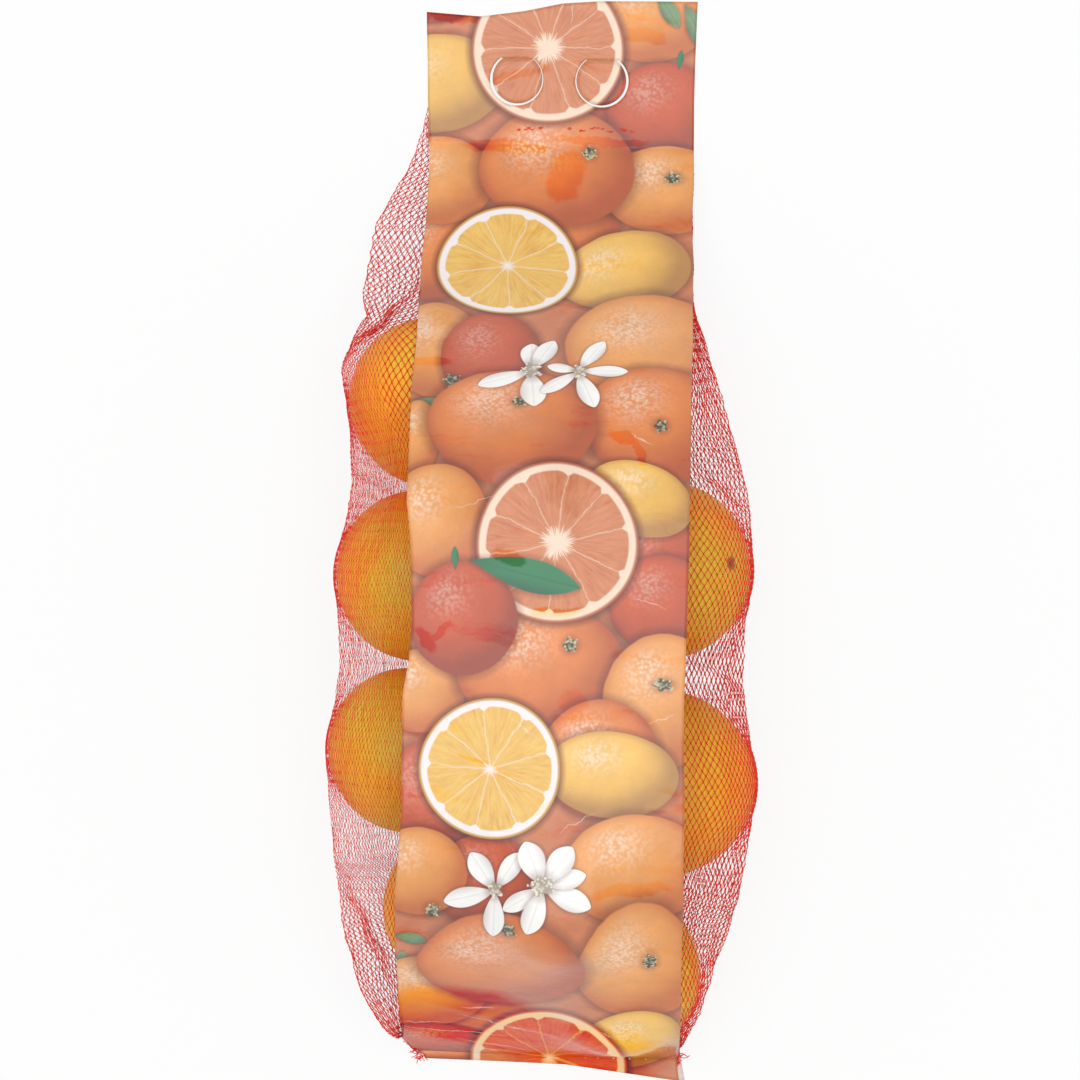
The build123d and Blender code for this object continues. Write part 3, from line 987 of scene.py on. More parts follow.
def orange(node_name, material):
    """An orange: a slightly flattened ball with a stem end and a navel, turned its own way."""
    centre, radius = FRUIT[node_name]
    draw = np.random.default_rng(sum(map(ord, node_name)))
    rings, spokes = 64, 96
    polar = np.linspace(0.0, np.pi, rings)
    turn = np.arange(spokes) / spokes * 2 * np.pi
    p, t = np.meshgrid(polar, turn, indexing="ij")
    from_stem, from_navel = p, np.pi - p
    swell = 1 + 0.008 * np.sin(p * 3 + 1) * np.cos(t * 2 + radius)
    swell += 0.006 * np.cos(t * 3 + 1.7 * radius) * np.sin(p)
    dip = 0.045 * np.exp(-((from_stem / 0.16) ** 2)) + 0.03 * np.exp(-((from_navel / 0.1) ** 2))
    furrow = 0.006 * np.exp(-((from_stem / 0.4) ** 2)) * np.cos(t * 5)
    shell = radius * (swell * (1 - dip) - furrow)
    level = shell * np.sin(p)
    points = np.stack([level * np.cos(t), level * np.sin(t), shell * np.cos(p) * SQUAT], -1).reshape(-1, 3)
    points *= (radius - 0.02) / np.linalg.norm(points, axis=1).max()
    # The stem end points in under the film, except on the one that shows it.
    side = -1.0 if centre[0] > 0 else 1.0
    axis = np.array(SHOWN_STEM if node_name == "orange_right_2" else (side * 0.8, 0.3, 0.5))
    tilt = np.linalg.qr(np.column_stack([axis, draw.normal(size=(3, 2))]))[0][:, (1, 2, 0)]
    tilt[:, 2] = axis / np.linalg.norm(axis)
    faces = grid_faces(rings, spokes, closed=True)
    turned = points @ tilt.T + centre
    piece = new_piece(node_name.replace("orange", "fruit"), turned, faces, material)
    set_attribute(piece, "fruit_mm", points)
    tone = PEEL_TONES.get(node_name, 0.5)
    set_attribute(piece, "peel_tone", np.repeat([[tone, draw.uniform(0, 200), 0.0]], len(points), axis=0))
    if np.linalg.det(tilt) > 0:
        piece.data.flip_normals()
    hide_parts(node_name)
    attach(piece, "bag")
    return piece


# ---- loose thread


def weld_knots(band, material):
    """The net's knots along the top weld, pressed out through the front film."""
    draw = np.random.default_rng(5)
    tubes = []
    for x in np.sort(np.concatenate([draw.uniform(-17, -5, 9), draw.uniform(3, 31, 20)])):
        y = 170.4 + 0.5 * math.sin(x * 0.5) + draw.uniform(-0.5, 0.5)
        z = float(front_height(np.array([x]), np.array([y]), band)[0])
        bend, size = draw.uniform(-0.8, 0.8), draw.uniform(0.5, 1.1)
        t = np.linspace(-1, 1, 7)
        path = np.stack([x + t * size, y + bend * (1 - t**2) * 0.8, z + 0.05 + 0.22 * (1 - t**2)], -1)
        tubes.append(tube(path, np.tile([0.0, 0.0, 1.0], (7, 1)), 0.2 * np.sqrt(1.08 - t**2), sides=5))
    piece = tube_piece("weld_knots", tubes, material)
    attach(piece, "header")
    return piece


def hem_tufts(material):
    """Cut thread ends that stick out of the hem at its corners."""
    draw = np.random.default_rng(6)
    tubes = []
    for x, y, sign, count in ((-53.7, -209.4, -1, 14), (-50.6, -215.8, -1, 16), (60.8, -214.6, 1, 12)):
        for _ in range(count):
            heading = draw.uniform(-1.9, 0.3)
            length, curl = draw.uniform(2.0, 5.0), draw.uniform(-1.4, 1.4)
            t = np.linspace(0, 1, 7)
            turn = heading + curl * t
            dx, dy = np.cumsum(np.cos(turn)) / 7 * length * sign, np.cumsum(np.sin(turn)) / 7 * length
            start = draw.uniform(-1.6, 1.6, 2)
            z = 0.9 + 1.6 * t * (1.2 - t) + draw.uniform(0, 0.8)
            path = np.stack([x + start[0] + dx - sign * 2, y + start[1] + dy, z], -1)
            tubes.append(tube(path, np.tile([0.0, 0.0, 1.0], (7, 1)), np.full(7, 0.17), sides=4))
    piece = tube_piece("thread_ends", tubes, material)
    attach(piece, "bag")
    return piece


# ---- welds

SEAM_WIDTH = 10.4


def top_weld(material):
    """The pressed seam over the folded net, below the header."""
    low, high = box_mm("top_weld")
    across, along = np.linspace(low[0] + 1, high[0] - 1, 180), np.linspace(low[1] - 1.2, high[1] + 1.2, 14)
    x, y = np.meshgrid(across, along)
    z = 0.98 + 0.16 * np.sin(x * 2.1) * np.sin(y * 1.6)
    points, faces, _ = thicken(np.stack([x, y, z], -1).reshape(-1, 3), grid_faces(*x.shape), 0.6)
    piece = new_piece("weld_top", points, faces, material)
    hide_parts("top_weld")
    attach(piece, "header")
    return piece


def hem_weld(material):
    """The pressed seam at the foot, which follows the cut of the hem."""
    across, along = np.linspace(0.02, 0.98, 160), np.linspace(FOOT_Y - 2.6, FOOT_Y - 2.6 + SEAM_WIDTH, 14)
    s, a = np.meshgrid(across, along)
    x, y = film_plan(s, a)
    z = 0.78 + 0.1 * np.sin(x * 2.3) * np.sin(y * 2.0)
    points, faces, _ = thicken(np.stack([x, y, z], -1).reshape(-1, 3), grid_faces(*x.shape), 0.4)
    piece = new_piece("weld_hem", points, faces, material)
    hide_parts("hem_weld")
    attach(piece, "bag")
    return piece


# ---- materials


def new_material(name):
    """An empty node material with its output, and its node tree."""
    material = bpy.data.materials.new(name)
    material.use_nodes = True
    material.node_tree.nodes.clear()
    return material, material.node_tree


def finish_material(material, tree, shader):
    node(tree, "OutputMaterial", {"Surface": shader})
    return material


FLOAT, COLOUR, VECTOR = "NodeSocketFloat", "NodeSocketColor", "NodeSocketVector"


def new_group(name, *inputs):
    """A node group that takes the named inputs and gives one colour."""
    tree = bpy.data.node_groups.new(name, "ShaderNodeTree")
    for label, kind in inputs:
        tree.interface.new_socket(label, in_out="INPUT", socket_type=kind)
    tree.interface.new_socket("Colour", in_out="OUTPUT", socket_type=COLOUR)
    return tree, node(tree, "NodeGroupInput").outputs


def close_group(tree, below, colour, alpha, shadow):
    """Lay a motif over what is below it: its soft shadow first, then the motif itself."""
    dim = node(tree, "MixRGB", {0: shadow, 1: below, 2: linear("#8A5A48")}, blend_type="MULTIPLY")
    laid = node(tree, "MixRGB", {0: alpha, 1: dim, 2: colour})
    node(tree, "NodeGroupOutput", {"Colour": laid})
    return tree


def printed_fruit():
    """A printed whole fruit, lit from the upper left: dimpled gloss, a darker rim and a soft shadow."""
    tree, given = new_group(
        "Printed fruit", ("Below", COLOUR), ("Place", VECTOR), ("Skin", COLOUR), ("Shade", COLOUR),
        ("Gloss", FLOAT), ("Dimples", FLOAT), ("Mottle", FLOAT),
    )
    flat = node(tree, "VectorMath", {0: given["Place"], 1: (1, 1, 0)}, operation="MULTIPLY")
    length = node(tree, "VectorMath", {0: flat}, operation="LENGTH").outputs["Value"]
    uneven = node(tree, "Math", {0: given["Mottle"], 1: 0.07, 2: -0.035}, operation="MULTIPLY_ADD")
    radius = node(tree, "Math", {0: length, 1: uneven})
    squared = node(tree, "Math", {0: radius, 1: radius}, operation="MULTIPLY")
    depth = node(tree, "Math", {0: 1.0, 1: squared}, operation="SUBTRACT", use_clamp=True)
    rise = node(tree, "Math", {0: depth, 1: 0.5}, operation="POWER")
    parts = node(tree, "SeparateXYZ", {0: flat})
    normal = node(tree, "CombineXYZ", {0: parts.outputs[0], 1: parts.outputs[1], 2: rise})
    facing = node(tree, "VectorMath", {0: normal, 1: (-0.3, 0.42, 0.86)}, operation="DOT_PRODUCT")
    lit = facing.outputs["Value"]
    shade = node(tree, "MapRange", {0: lit, 1: 0.1, 2: 0.92}, interpolation_type="SMOOTHSTEP")
    skin = node(tree, "MixRGB", {0: shade, 1: given["Shade"], 2: given["Skin"]})
    mottle = node(tree, "Math", {0: given["Mottle"], 1: 0.5, 2: 0.76}, operation="MULTIPLY_ADD")
    blotched = node(tree, "VectorMath", {0: skin, "Scale": mottle}, operation="SCALE")
    gleam = node(tree, "Math", {0: lit, 1: 13.0}, operation="POWER", use_clamp=True)
    bumps = node(tree, "MapRange", {0: given["Dimples"], 1: 0.75, 2: 0.2, 3: 0.0, 4: 0.7})
    pores = node(tree, "Math", {0: bumps, 1: 0.18})
    sparkle = node(tree, "Math", {0: gleam, 1: pores}, operation="MULTIPLY")
    strength = node(tree, "Math", {0: sparkle, 1: given["Gloss"]}, operation="MULTIPLY", use_clamp=True)
    shiny = node(tree, "MixRGB", {0: strength, 1: blotched, 2: linear("#FFF0DE")})
    rim = node(tree, "MapRange", {0: radius, 1: 0.86, 2: 1.0, 3: 0.0, 4: 0.42})
    rounded = node(tree, "MixRGB", {0: rim, 1: shiny, 2: given["Shade"]})
    alpha = node(tree, "MapRange", {0: radius, 1: 1.0, 2: 0.975})
    shadow = node(tree, "MapRange", {0: radius, 1: 1.14, 2: 0.98, 3: 0.0, 4: 0.62})
    return close_group(tree, given["Below"], rounded, alpha, shadow)


def printed_slice():
    """A printed cut fruit: rind, white pith, juicy segments between pale walls, and a pith star."""
    tree, given = new_group(
        "Printed slice", ("Below", COLOUR), ("Place", VECTOR), ("Rind", COLOUR), ("Pith", COLOUR),
        ("Flesh", COLOUR), ("Deep", COLOUR), ("Walls", FLOAT), ("Core", FLOAT), ("Mottle", FLOAT),
    )
    parts = node(tree, "SeparateXYZ", {0: given["Place"]})
    across, along = parts.outputs[0], parts.outputs[1]
    length = node(tree, "VectorMath", {0: given["Place"]}, operation="LENGTH").outputs["Value"]
    angle = node(tree, "Math", {0: along, 1: across}, operation="ARCTAN2")
    lobes = node(tree, "Math", {0: angle, 1: 3.0, 2: 0.6}, operation="MULTIPLY_ADD")
    lobe = node(tree, "Math", {0: lobes}, operation="SINE")
    uneven = node(tree, "Math", {0: lobe, 1: 0.012, 2: length}, operation="MULTIPLY_ADD")
    around = node(tree, "Math", {0: given["Mottle"], 1: 0.3, 2: angle}, operation="MULTIPLY_ADD")
    turns = node(tree, "Math", {0: around, 1: given["Walls"]}, operation="MULTIPLY")
    share = node(tree, "Math", {0: turns}, operation="FRACT")
    centred = node(tree, "Math", {0: share, 1: 0.5}, operation="SUBTRACT")
    off = node(tree, "Math", {0: centred}, operation="ABSOLUTE")
    from_wall = node(tree, "Math", {0: 0.5, 1: off}, operation="SUBTRACT")
    wall_gap = node(tree, "Math", {0: from_wall, 1: length}, operation="MULTIPLY")
    wall = node(tree, "MapRange", {0: wall_gap, 1: 0.0, 2: 0.022, 3: 0.5, 4: 0.0})
    corner = node(tree, "MapRange", {0: from_wall, 1: 0.0, 2: 0.16, 3: 0.82, 4: 0.87},
                  interpolation_type="SMOOTHSTEP")
    swept = node(tree, "Math", {0: angle, 1: 9.0}, operation="MULTIPLY")
    outward = node(tree, "Math", {0: length, 1: 2.2}, operation="MULTIPLY")
    streak_place = node(tree, "CombineXYZ", {0: swept, 1: outward, 2: 0.0})
    streaks = noise(tree, streak_place, 1.6, 4.0, 0.6)
    juice = node(tree, "MapRange", {0: streaks.outputs[0], 1: 0.35, 2: 0.68})
    cloud = node(tree, "MapRange", {0: given["Mottle"], 1: 0.35, 2: 0.68, 3: 0.35, 4: 1.0})
    depth = node(tree, "Math", {0: juice, 1: cloud}, operation="MULTIPLY")
    flesh = node(tree, "MixRGB", {0: depth, 1: given["Flesh"], 2: given["Deep"]})
    walled = node(tree, "MixRGB", {0: wall, 1: flesh, 2: given["Pith"]})
    core_edge = node(tree, "Math", {0: streaks.outputs[0], 1: 0.55, 2: -0.28}, operation="MULTIPLY_ADD")
    core_radius = node(tree, "Math", {0: given["Core"], 1: core_edge})
    core_gap = node(tree, "Math", {0: length, 1: core_radius}, operation="SUBTRACT")
    core = node(tree, "MapRange", {0: core_gap, 1: 0.03, 2: -0.03})
    cored = node(tree, "MixRGB", {0: core, 1: walled, 2: given["Pith"]})
    flesh_gap = node(tree, "Math", {0: uneven, 1: corner}, operation="SUBTRACT")
    in_pith = node(tree, "MapRange", {0: flesh_gap, 1: -0.008, 2: 0.014})
    pith = node(tree, "MixRGB", {0: in_pith, 1: cored, 2: given["Pith"]})
    in_rind = node(tree, "MapRange", {0: uneven, 1: 0.945, 2: 0.975})
    rind = node(tree, "MixRGB", {0: in_rind, 1: pith, 2: given["Rind"]})
    alpha = node(tree, "MapRange", {0: uneven, 1: 1.0, 2: 0.985})
    shadow = node(tree, "MapRange", {0: uneven, 1: 1.09, 2: 0.99, 3: 0.0, 4: 0.9})
    return close_group(tree, given["Below"], rind, alpha, shadow)


def printed_petal():
    """A printed white petal, a slim leaf shape with a soft grey fold. Also a green leaf."""
    tree, given = new_group(
        "Printed petal", ("Below", COLOUR), ("Place", VECTOR), ("Light", COLOUR), ("Fold", COLOUR),
        ("Tip", FLOAT), ("Mottle", FLOAT),
    )
    parts = node(tree, "SeparateXYZ", {0: given["Place"]})
    across, along = parts.outputs[0], parts.outputs[1]
    squared = node(tree, "Math", {0: across, 1: across}, operation="MULTIPLY")
    room = node(tree, "Math", {0: 1.0, 1: squared}, operation="SUBTRACT", use_clamp=True)
    oval = node(tree, "Math", {0: room, 1: given["Tip"]}, operation="POWER")
    fuller = node(tree, "Math", {0: across, 1: 0.32, 2: 1.0}, operation="MULTIPLY_ADD")
    width = node(tree, "Math", {0: oval, 1: fuller}, operation="MULTIPLY")
    away = node(tree, "Math", {0: along}, operation="ABSOLUTE")
    long = node(tree, "Math", {0: across}, operation="ABSOLUTE")
    beyond = node(tree, "MapRange", {0: long, 1: 0.97, 2: 1.3, 3: 0.0, 4: 2.0})
    wide = node(tree, "Math", {0: away, 1: width}, operation="SUBTRACT")
    over = node(tree, "Math", {0: wide, 1: beyond})
    alpha = node(tree, "MapRange", {0: over, 1: 0.0, 2: -0.09})
    shadow = node(tree, "MapRange", {0: over, 1: 0.35, 2: -0.02, 3: 0.0, 4: 0.45})
    vein = node(tree, "MapRange", {0: away, 1: 0.0, 2: 0.12, 3: 0.35, 4: 0.0})
    side = node(tree, "MapRange", {0: along, 1: -0.2, 2: -1.0, 3: 0.0, 4: 0.75})
    heel = node(tree, "MapRange", {0: across, 1: -0.35, 2: -1.0, 3: 0.0, 4: 0.6})
    blotch = node(tree, "Math", {0: given["Mottle"], 1: 0.45, 2: -0.16}, operation="MULTIPLY_ADD",
                  use_clamp=True)
    most = node(tree, "Math", {0: side, 1: heel}, operation="MAXIMUM")
    lined = node(tree, "Math", {0: most, 1: vein}, operation="MAXIMUM")
    grey = node(tree, "Math", {0: lined, 1: blotch}, use_clamp=True)
    colour = node(tree, "MixRGB", {0: grey, 1: given["Light"], 2: given["Fold"]})
    return close_group(tree, given["Below"], colour, alpha, shadow)


def printed_button():
    """A printed stem end or a tuft of stamens: a lobed, grainy disc."""
    tree, given = new_group(
        "Printed button", ("Below", COLOUR), ("Place", VECTOR), ("Light", COLOUR), ("Fold", COLOUR),
        ("Lobes", FLOAT), ("Dimples", FLOAT), ("Mottle", FLOAT),
    )
    parts = node(tree, "SeparateXYZ", {0: given["Place"]})
    length = node(tree, "VectorMath", {0: given["Place"]}, operation="LENGTH").outputs["Value"]
    angle = node(tree, "Math", {0: parts.outputs[1], 1: parts.outputs[0]}, operation="ARCTAN2")
    turns = node(tree, "Math", {0: angle, 1: 5.0}, operation="MULTIPLY")
    wave = node(tree, "Math", {0: turns}, operation="COSINE")
    edge = node(tree, "Math", {0: wave, 1: given["Lobes"], 2: length}, operation="MULTIPLY_ADD")
    ragged = node(tree, "Math", {0: given["Dimples"], 1: 0.35, 2: edge}, operation="MULTIPLY_ADD")
    alpha = node(tree, "MapRange", {0: ragged, 1: 1.0, 2: 0.86})
    shadow = node(tree, "MapRange", {0: length, 1: 1.5, 2: 0.5, 3: 0.0, 4: 0.55})
    grain = node(tree, "MapRange", {0: given["Dimples"], 1: 0.15, 2: 0.6})
    middle = node(tree, "MapRange", {0: length, 1: 0.5, 2: 0.1, 3: 0.0, 4: 0.8})
    dark = node(tree, "Math", {0: grain, 1: middle}, operation="MAXIMUM")
    colour = node(tree, "MixRGB", {0: dark, 1: given["Light"], 2: given["Fold"]})
    return close_group(tree, given["Below"], colour, alpha, shadow)


def painted_light_patch():
    """A patch with crisp edges, joined to those already in the mask: a painted gap in the reflection or a
    painted crease highlight.
    """
    tree, given = new_group(
        "Clear patch", ("Mask", FLOAT), ("Place", VECTOR), ("Strength", FLOAT), ("Edge", FLOAT)
    )
    size = node(tree, "VectorMath", {0: given["Place"]}, operation="ABSOLUTE")
    parts = node(tree, "SeparateXYZ", {0: size})
    tapered = node(tree, "Math", {0: parts.outputs[0], 1: 0.35, 2: parts.outputs[1]},
                   operation="MULTIPLY_ADD")
    furthest = node(tree, "Math", {0: parts.outputs[0], 1: tapered, 2: 0.35}, operation="SMOOTH_MAX")
    inner = node(tree, "Math", {0: 1.0, 1: given["Edge"]}, operation="SUBTRACT")
    inside = node(tree, "MapRange", {0: furthest, 1: 1.05, 2: inner, 3: 0.0, 4: given["Strength"]})
    joined = node(tree, "Math", {0: inside, 1: given["Mask"]}, operation="MAXIMUM")
    node(tree, "NodeGroupOutput", {"Colour": joined})
    return tree


# Colours of the print's inks, as settings or as they are: skin and shade of a fruit, light and fold of
# petals, leaves and buttons, or rind, pith, flesh and deep flesh of a slice.
INKS = {
    "orange": ("orange", "#B45226"),
    "pale orange": ("pale_orange", "#C66C34"),
    "mandarin": ("mandarin", "#9C3A1E"),
    "lemon": ("lemon", "#B68042"),
    "petal": ("petal", "#CFC6C4"),
    "leaf": ("leaf", "#14503A"),
    "dull leaf": ("#7C9A72", "#47604C"),
    "calyx": ("#CFC39C", "#3E4434"),
    "stamens": ("#F1E6D8", "#A59A86"),
    "blood": ("#B45C30", "#F3D8C0", "blood_flesh", "#BE6034"),
    "citron": ("#C8902A", "#F3EAEA", "citron_flesh", "#D89A34"),
    "cut orange": ("#C8642A", "#F0D4B8", "orange_flesh", "#C2540F"),
}
# The print's motifs, bottom layer first: kind, middle on the flat film (x from its centre line, y from the
# hem), half width, half height, turn in degrees, ink. Lengths in mm.
PRINT = (
    ("fruit", 1.6, 453.9, 24.8, 23.6, 1, "orange"),
    ("fruit", -51.8, 441.4, 20.6, 30.0, 1, "orange"),
    ("fruit", 37.2, 548.2, 25.9, 20.9, 1, "pale orange"),
    ("fruit", 13.2, 504.4, 20.9, 17.0, 1, "mandarin"),
    ("leaf", 44.7, 549.6, 9.2, 3.5, -57, "dull leaf"),
    ("leaf", 56.9, 542.4, 11.3, 4.4, -61, "dull leaf"),
    ("fruit", -54.7, 552.3, 20.0, 10.8, 1, "mandarin"),
    ("fruit", -51.4, 516.6, 30.0, 20.9, 9, "lemon"),
    ("fruit", 44.0, 507.6, 24.2, 20.3, 1, "mandarin"),
    ("leaf", 50.2, 528.9, 4.2, 1.3, 83, "leaf"),
    ("fruit", -48.6, 473.9, 23.3, 21.1, 1, "pale orange"),
    ("fruit", 45.7, 471.7, 27.4, 21.2, 1, "pale orange"),
    ("button", 48.2, 477.5, 4.2, 3.2, 1, "calyx"),
    ("fruit", -0.1, 480.1, 32.8, 27.8, 1, "orange"),
    ("button", 13.5, 488.5, 3.3, 3.7, 1, "calyx"),
    ("fruit", 28.7, 430.2, 28.7, 21.0, 23, "lemon"),
    ("fruit", -47.5, 379.9, 19.3, 30.8, 1, "pale orange"),
    ("fruit", -24.5, 374.5, 20.8, 30.6, 1, "mandarin"),
    ("button", -40.1, 359.0, 4.0, 5.3, 1, "calyx"),
    ("slice", -19.4, 432.7, 29.2, 29.2, 1, "citron"),
    ("fruit", 38.9, 381.9, 34.6, 36.6, 1, "pale orange"),
    ("leaf", -48.5, 345.4, 8.7, 3.8, -9, "dull leaf"),
    ("leaf", -54.9, 333.7, 3.6, 7.1, 1, "dull leaf"),
    ("fruit", -52.7, 328.2, 8.7, 19.4, 1, "pale orange"),
    ("fruit", 40.9, 339.0, 28.5, 31.9, 1, "orange"),
    ("button", 43.3, 336.2, 3.6, 4.2, 1, "calyx"),
    ("fruit", 4.4, 278.5, 23.4, 23.4, 1, "mandarin"),
    ("fruit", -15.6, 336.4, 34.1, 30.1, 1, "orange"),
    ("button", -13.2, 347.3, 3.6, 3.3, 1, "calyx"),
    ("fruit", -43.7, 292.4, 20.4, 22.9, 1, "pale orange"),
    ("fruit", 39.6, 279.3, 23.5, 17.7, 1, "mandarin"),
    ("fruit", 35.3, 303.0, 22.0, 14.7, -19, "lemon"),
    ("fruit", 44.7, 261.4, 21.1, 19.6, 1, "mandarin"),
    ("fruit", -49.1, 225.6, 18.0, 16.5, 1, "pale orange"),
    ("fruit", -2.4, 236.2, 33.5, 25.0, 1, "orange"),
    ("button", 9.1, 245.0, 3.5, 3.5, 1, "calyx"),
    ("fruit", 46.3, 223.9, 24.2, 26.6, 1, "pale orange"),
    ("button", 45.8, 230.2, 4.7, 3.1, 1, "calyx"),
    ("slice", 3.1, 284.9, 32.0, 32.0, 21, "blood"),
    ("fruit", -32.9, 254.6, 21.5, 22.7, 1, "mandarin"),
    ("leaf", -36.6, 277.9, 4.7, 1.4, 93, "leaf"),
    ("leaf", -9.1, 272.3, 23.0, 6.6, -13, "leaf"),
    ("fruit", 21.8, 200.8, 23.4, 23.5, 1, "orange"),
    ("fruit", -44.3, 183.2, 19.6, 23.5, 1, "mandarin"),
    ("fruit", 26.6, 194.6, 26.5, 17.2, -5, "lemon"),
    ("fruit", -21.7, 150.1, 22.0, 20.1, 1, "mandarin"),
    ("fruit", -48.6, 153.8, 19.7, 18.3, 1, "pale orange"),
    ("button", -42.6, 137.6, 3.6, 3.8, 1, "calyx"),
    ("slice", -21.0, 195.9, 27.9, 27.9, -14, "citron"),
    ("fruit", 37.0, 157.5, 29.0, 22.1, 1, "pale orange"),
    ("leaf", -51.8, 123.2, 7.2, 3.4, -14, "dull leaf"),
    ("leaf", -55.1, 108.3, 2.4, 5.5, 1, "dull leaf"),
    ("fruit", 39.9, 103.6, 26.2, 41.3, 1, "pale orange"),
    ("button", 43.9, 113.1, 3.6, 7.2, 1, "calyx"),
    ("fruit", -45.6, 74.0, 25.2, 37.1, -7, "pale orange"),
    ("fruit", -40.3, 20.1, 27.4, 20.1, -7, "mandarin"),
    ("fruit", -15.6, 103.2, 34.2, 36.1, 1, "orange"),
    ("button", -12.6, 131.4, 3.9, 3.6, 1, "calyx"),
    ("fruit", 37.5, 34.8, 21.8, 34.8, -13, "lemon"),
    ("fruit", -44.3, 2.3, 33.4, 2.3, 1, "orange"),
    ("leaf", -13.3, 26.5, 15.7, 3.9, -19, "leaf"),
    ("slice", 5.3, 3.0, 32.9, 60.0, 1, "cut orange"),
    ("slice", -5.0, 532.6, 32.1, 32.1, 11, "blood"),
    ("petal", -19.5, 361.1, 11.4, 4.1, -156, "petal"),
    ("petal", -8.7, 375.8, 8.4, 4.5, 89, "petal"),
    ("petal", -3.8, 377.2, 10.3, 4.1, 66, "petal"),
    ("petal", -7.8, 354.9, 10.0, 5.2, -86, "petal"),
    ("petal", 2.6, 359.3, 9.9, 3.3, -138, "petal"),
    ("petal", 3.8, 368.3, 6.3, 2.9, 169, "petal"),
    ("petal", 15.6, 377.7, 10.4, 3.6, 62, "petal"),
    ("petal", 20.7, 367.2, 9.5, 3.5, 2, "petal"),
    ("petal", 13.6, 355.3, 10.6, 4.2, -72, "petal"),
    ("button", -8.4, 366.8, 4.6, 6.2, 1, "stamens"),
    ("button", 10.4, 367.0, 3.2, 5.0, 1, "stamens"),
    ("petal", -28.5, 144.6, 10.4, 4.2, -164, "petal"),
    ("petal", -23.2, 155.4, 8.7, 4.5, 124, "petal"),
    ("petal", -12.9, 156.2, 8.6, 3.8, 58, "petal"),
    ("petal", -18.3, 137.3, 9.8, 4.2, -92, "petal"),
    ("petal", -7.6, 144.9, 8.8, 3.5, -146, "petal"),
    ("petal", -2.4, 140.0, 10.1, 4.6, -107, "petal"),
    ("petal", 10.4, 146.3, 10.0, 4.6, -22, "petal"),
    ("petal", 9.4, 153.3, 8.4, 3.8, 16, "petal"),
    ("petal", 6.4, 159.0, 9.2, 4.9, 53, "petal"),
    ("petal", -3.4, 159.6, 9.0, 5.3, 112, "petal"),
    ("button", -17.9, 148.3, 3.7, 3.9, 1, "stamens"),
    ("button", 0.2, 150.8, 5.5, 5.1, 1, "stamens"),
)
# Painted gaps in the film's sheen: stretches where the painted reflection is left out and the print is painted
# deeper, standing for
# facets that reflect no light: middle, half width, half height and turn on the flat film, in mm and degrees,
# and how fully.
REFLECTION_GAPS = (
    (-20.3, 490.6, 19.0, 3.6, -3, 0.7),
    (17.3, 494.0, 21.0, 1.9, -1, 0.55),
    (3.4, 477.0, 7.4, 14.4, -13, 0.6),
    (-45.4, 545.1, 11.3, 3.2, -2, 0.8),
    (-16.4, 521.5, 13.4, 2.1, 13, 0.5),
    (35.3, 538.6, 9.2, 3.8, -2, 0.5),
    (-15.5, 278.1, 6.2, 3.5, -24, 0.7),
    (3.7, 257.8, 10.9, 2.3, 6, 0.8),
    (-47.2, 246.0, 5.9, 2.7, -51, 0.6),
    (-41.4, 248.5, 5.5, 2.0, 36, 0.5),
    (35.0, 322.7, 2.0, 8.3, 13, 0.6),
    (28.6, 329.7, 7.1, 3.3, -24, 0.7),
    (-28.5, 49.0, 40.0, 33.4, -21, 1.0),
    (12.8, 24.6, 44.0, 33.0, -12, 1.0),
    (34.1, 42.9, 6.8, 10.6, -24, 0.6),
    (35.6, 149.6, 16.5, 3.1, 6, 0.5),
    (-48.5, 370.8, 8.8, 3.2, 5, 0.6),
    (-25.0, 198.9, 9.4, 0.9, -19, 0.9),
    (-1.2, 181.5, 6.6, 0.8, 36, 0.9),
    (10.7, 222.1, 5.1, 6.2, 31, 0.3),
)
# Painted highlights along the creases: fine pale lines where a crease would catch the light: middle, half
# length, half width, turn.
CREASE_HIGHLIGHTS = (
    (-11.5, 42.0, 26.0, 0.55, -27), (-34.0, 33.0, 25.0, 0.6, -8), (-17.0, 17.0, 19.0, 0.7, -24),
    (-46.0, 42.0, 10.0, 0.5, 4), (-24.0, 60.0, 8.0, 0.8, 8), (28.0, 45.0, 5.0, 0.4, -30),
    (4.6, 548.5, 6.0, 0.35, 88), (36.0, 328.6, 5.0, 0.35, -28), (45.5, 217.0, 6.0, 0.3, 12),
    (-8.0, 212.0, 9.0, 0.3, -40),
    (40.0, 262.0, 8.0, 0.3, -18), (-30.0, 300.0, 11.0, 0.25, 20), (14.0, 176.0, 9.0, 0.3, 30),
)
# The print is split into stretches of this length, each with a material that holds only its own motifs.
ZONE_LENGTH, ZONES, ZONE_LAP = 38.0, 15, 4
# Edges of the painted gaps in the reflection and of the painted crease highlights, and the highlights'
# strength.
REFLECTION_GAP_EDGE, CREASE_HIGHLIGHT_EDGE, CREASE_HIGHLIGHT_STRENGTH = 0.22, 0.9, 0.6


def placed(tree, source, x, y, wide, half, turn):
    """Coordinates of a motif: its middle at the origin, its half sizes as the unit."""
    return node(tree, "Mapping", {"Vector": source, "Location": (x, y, 0), "Scale": (wide, half, 1),
                                  "Rotation": (0, 0, math.radians(turn))}, vector_type="TEXTURE")


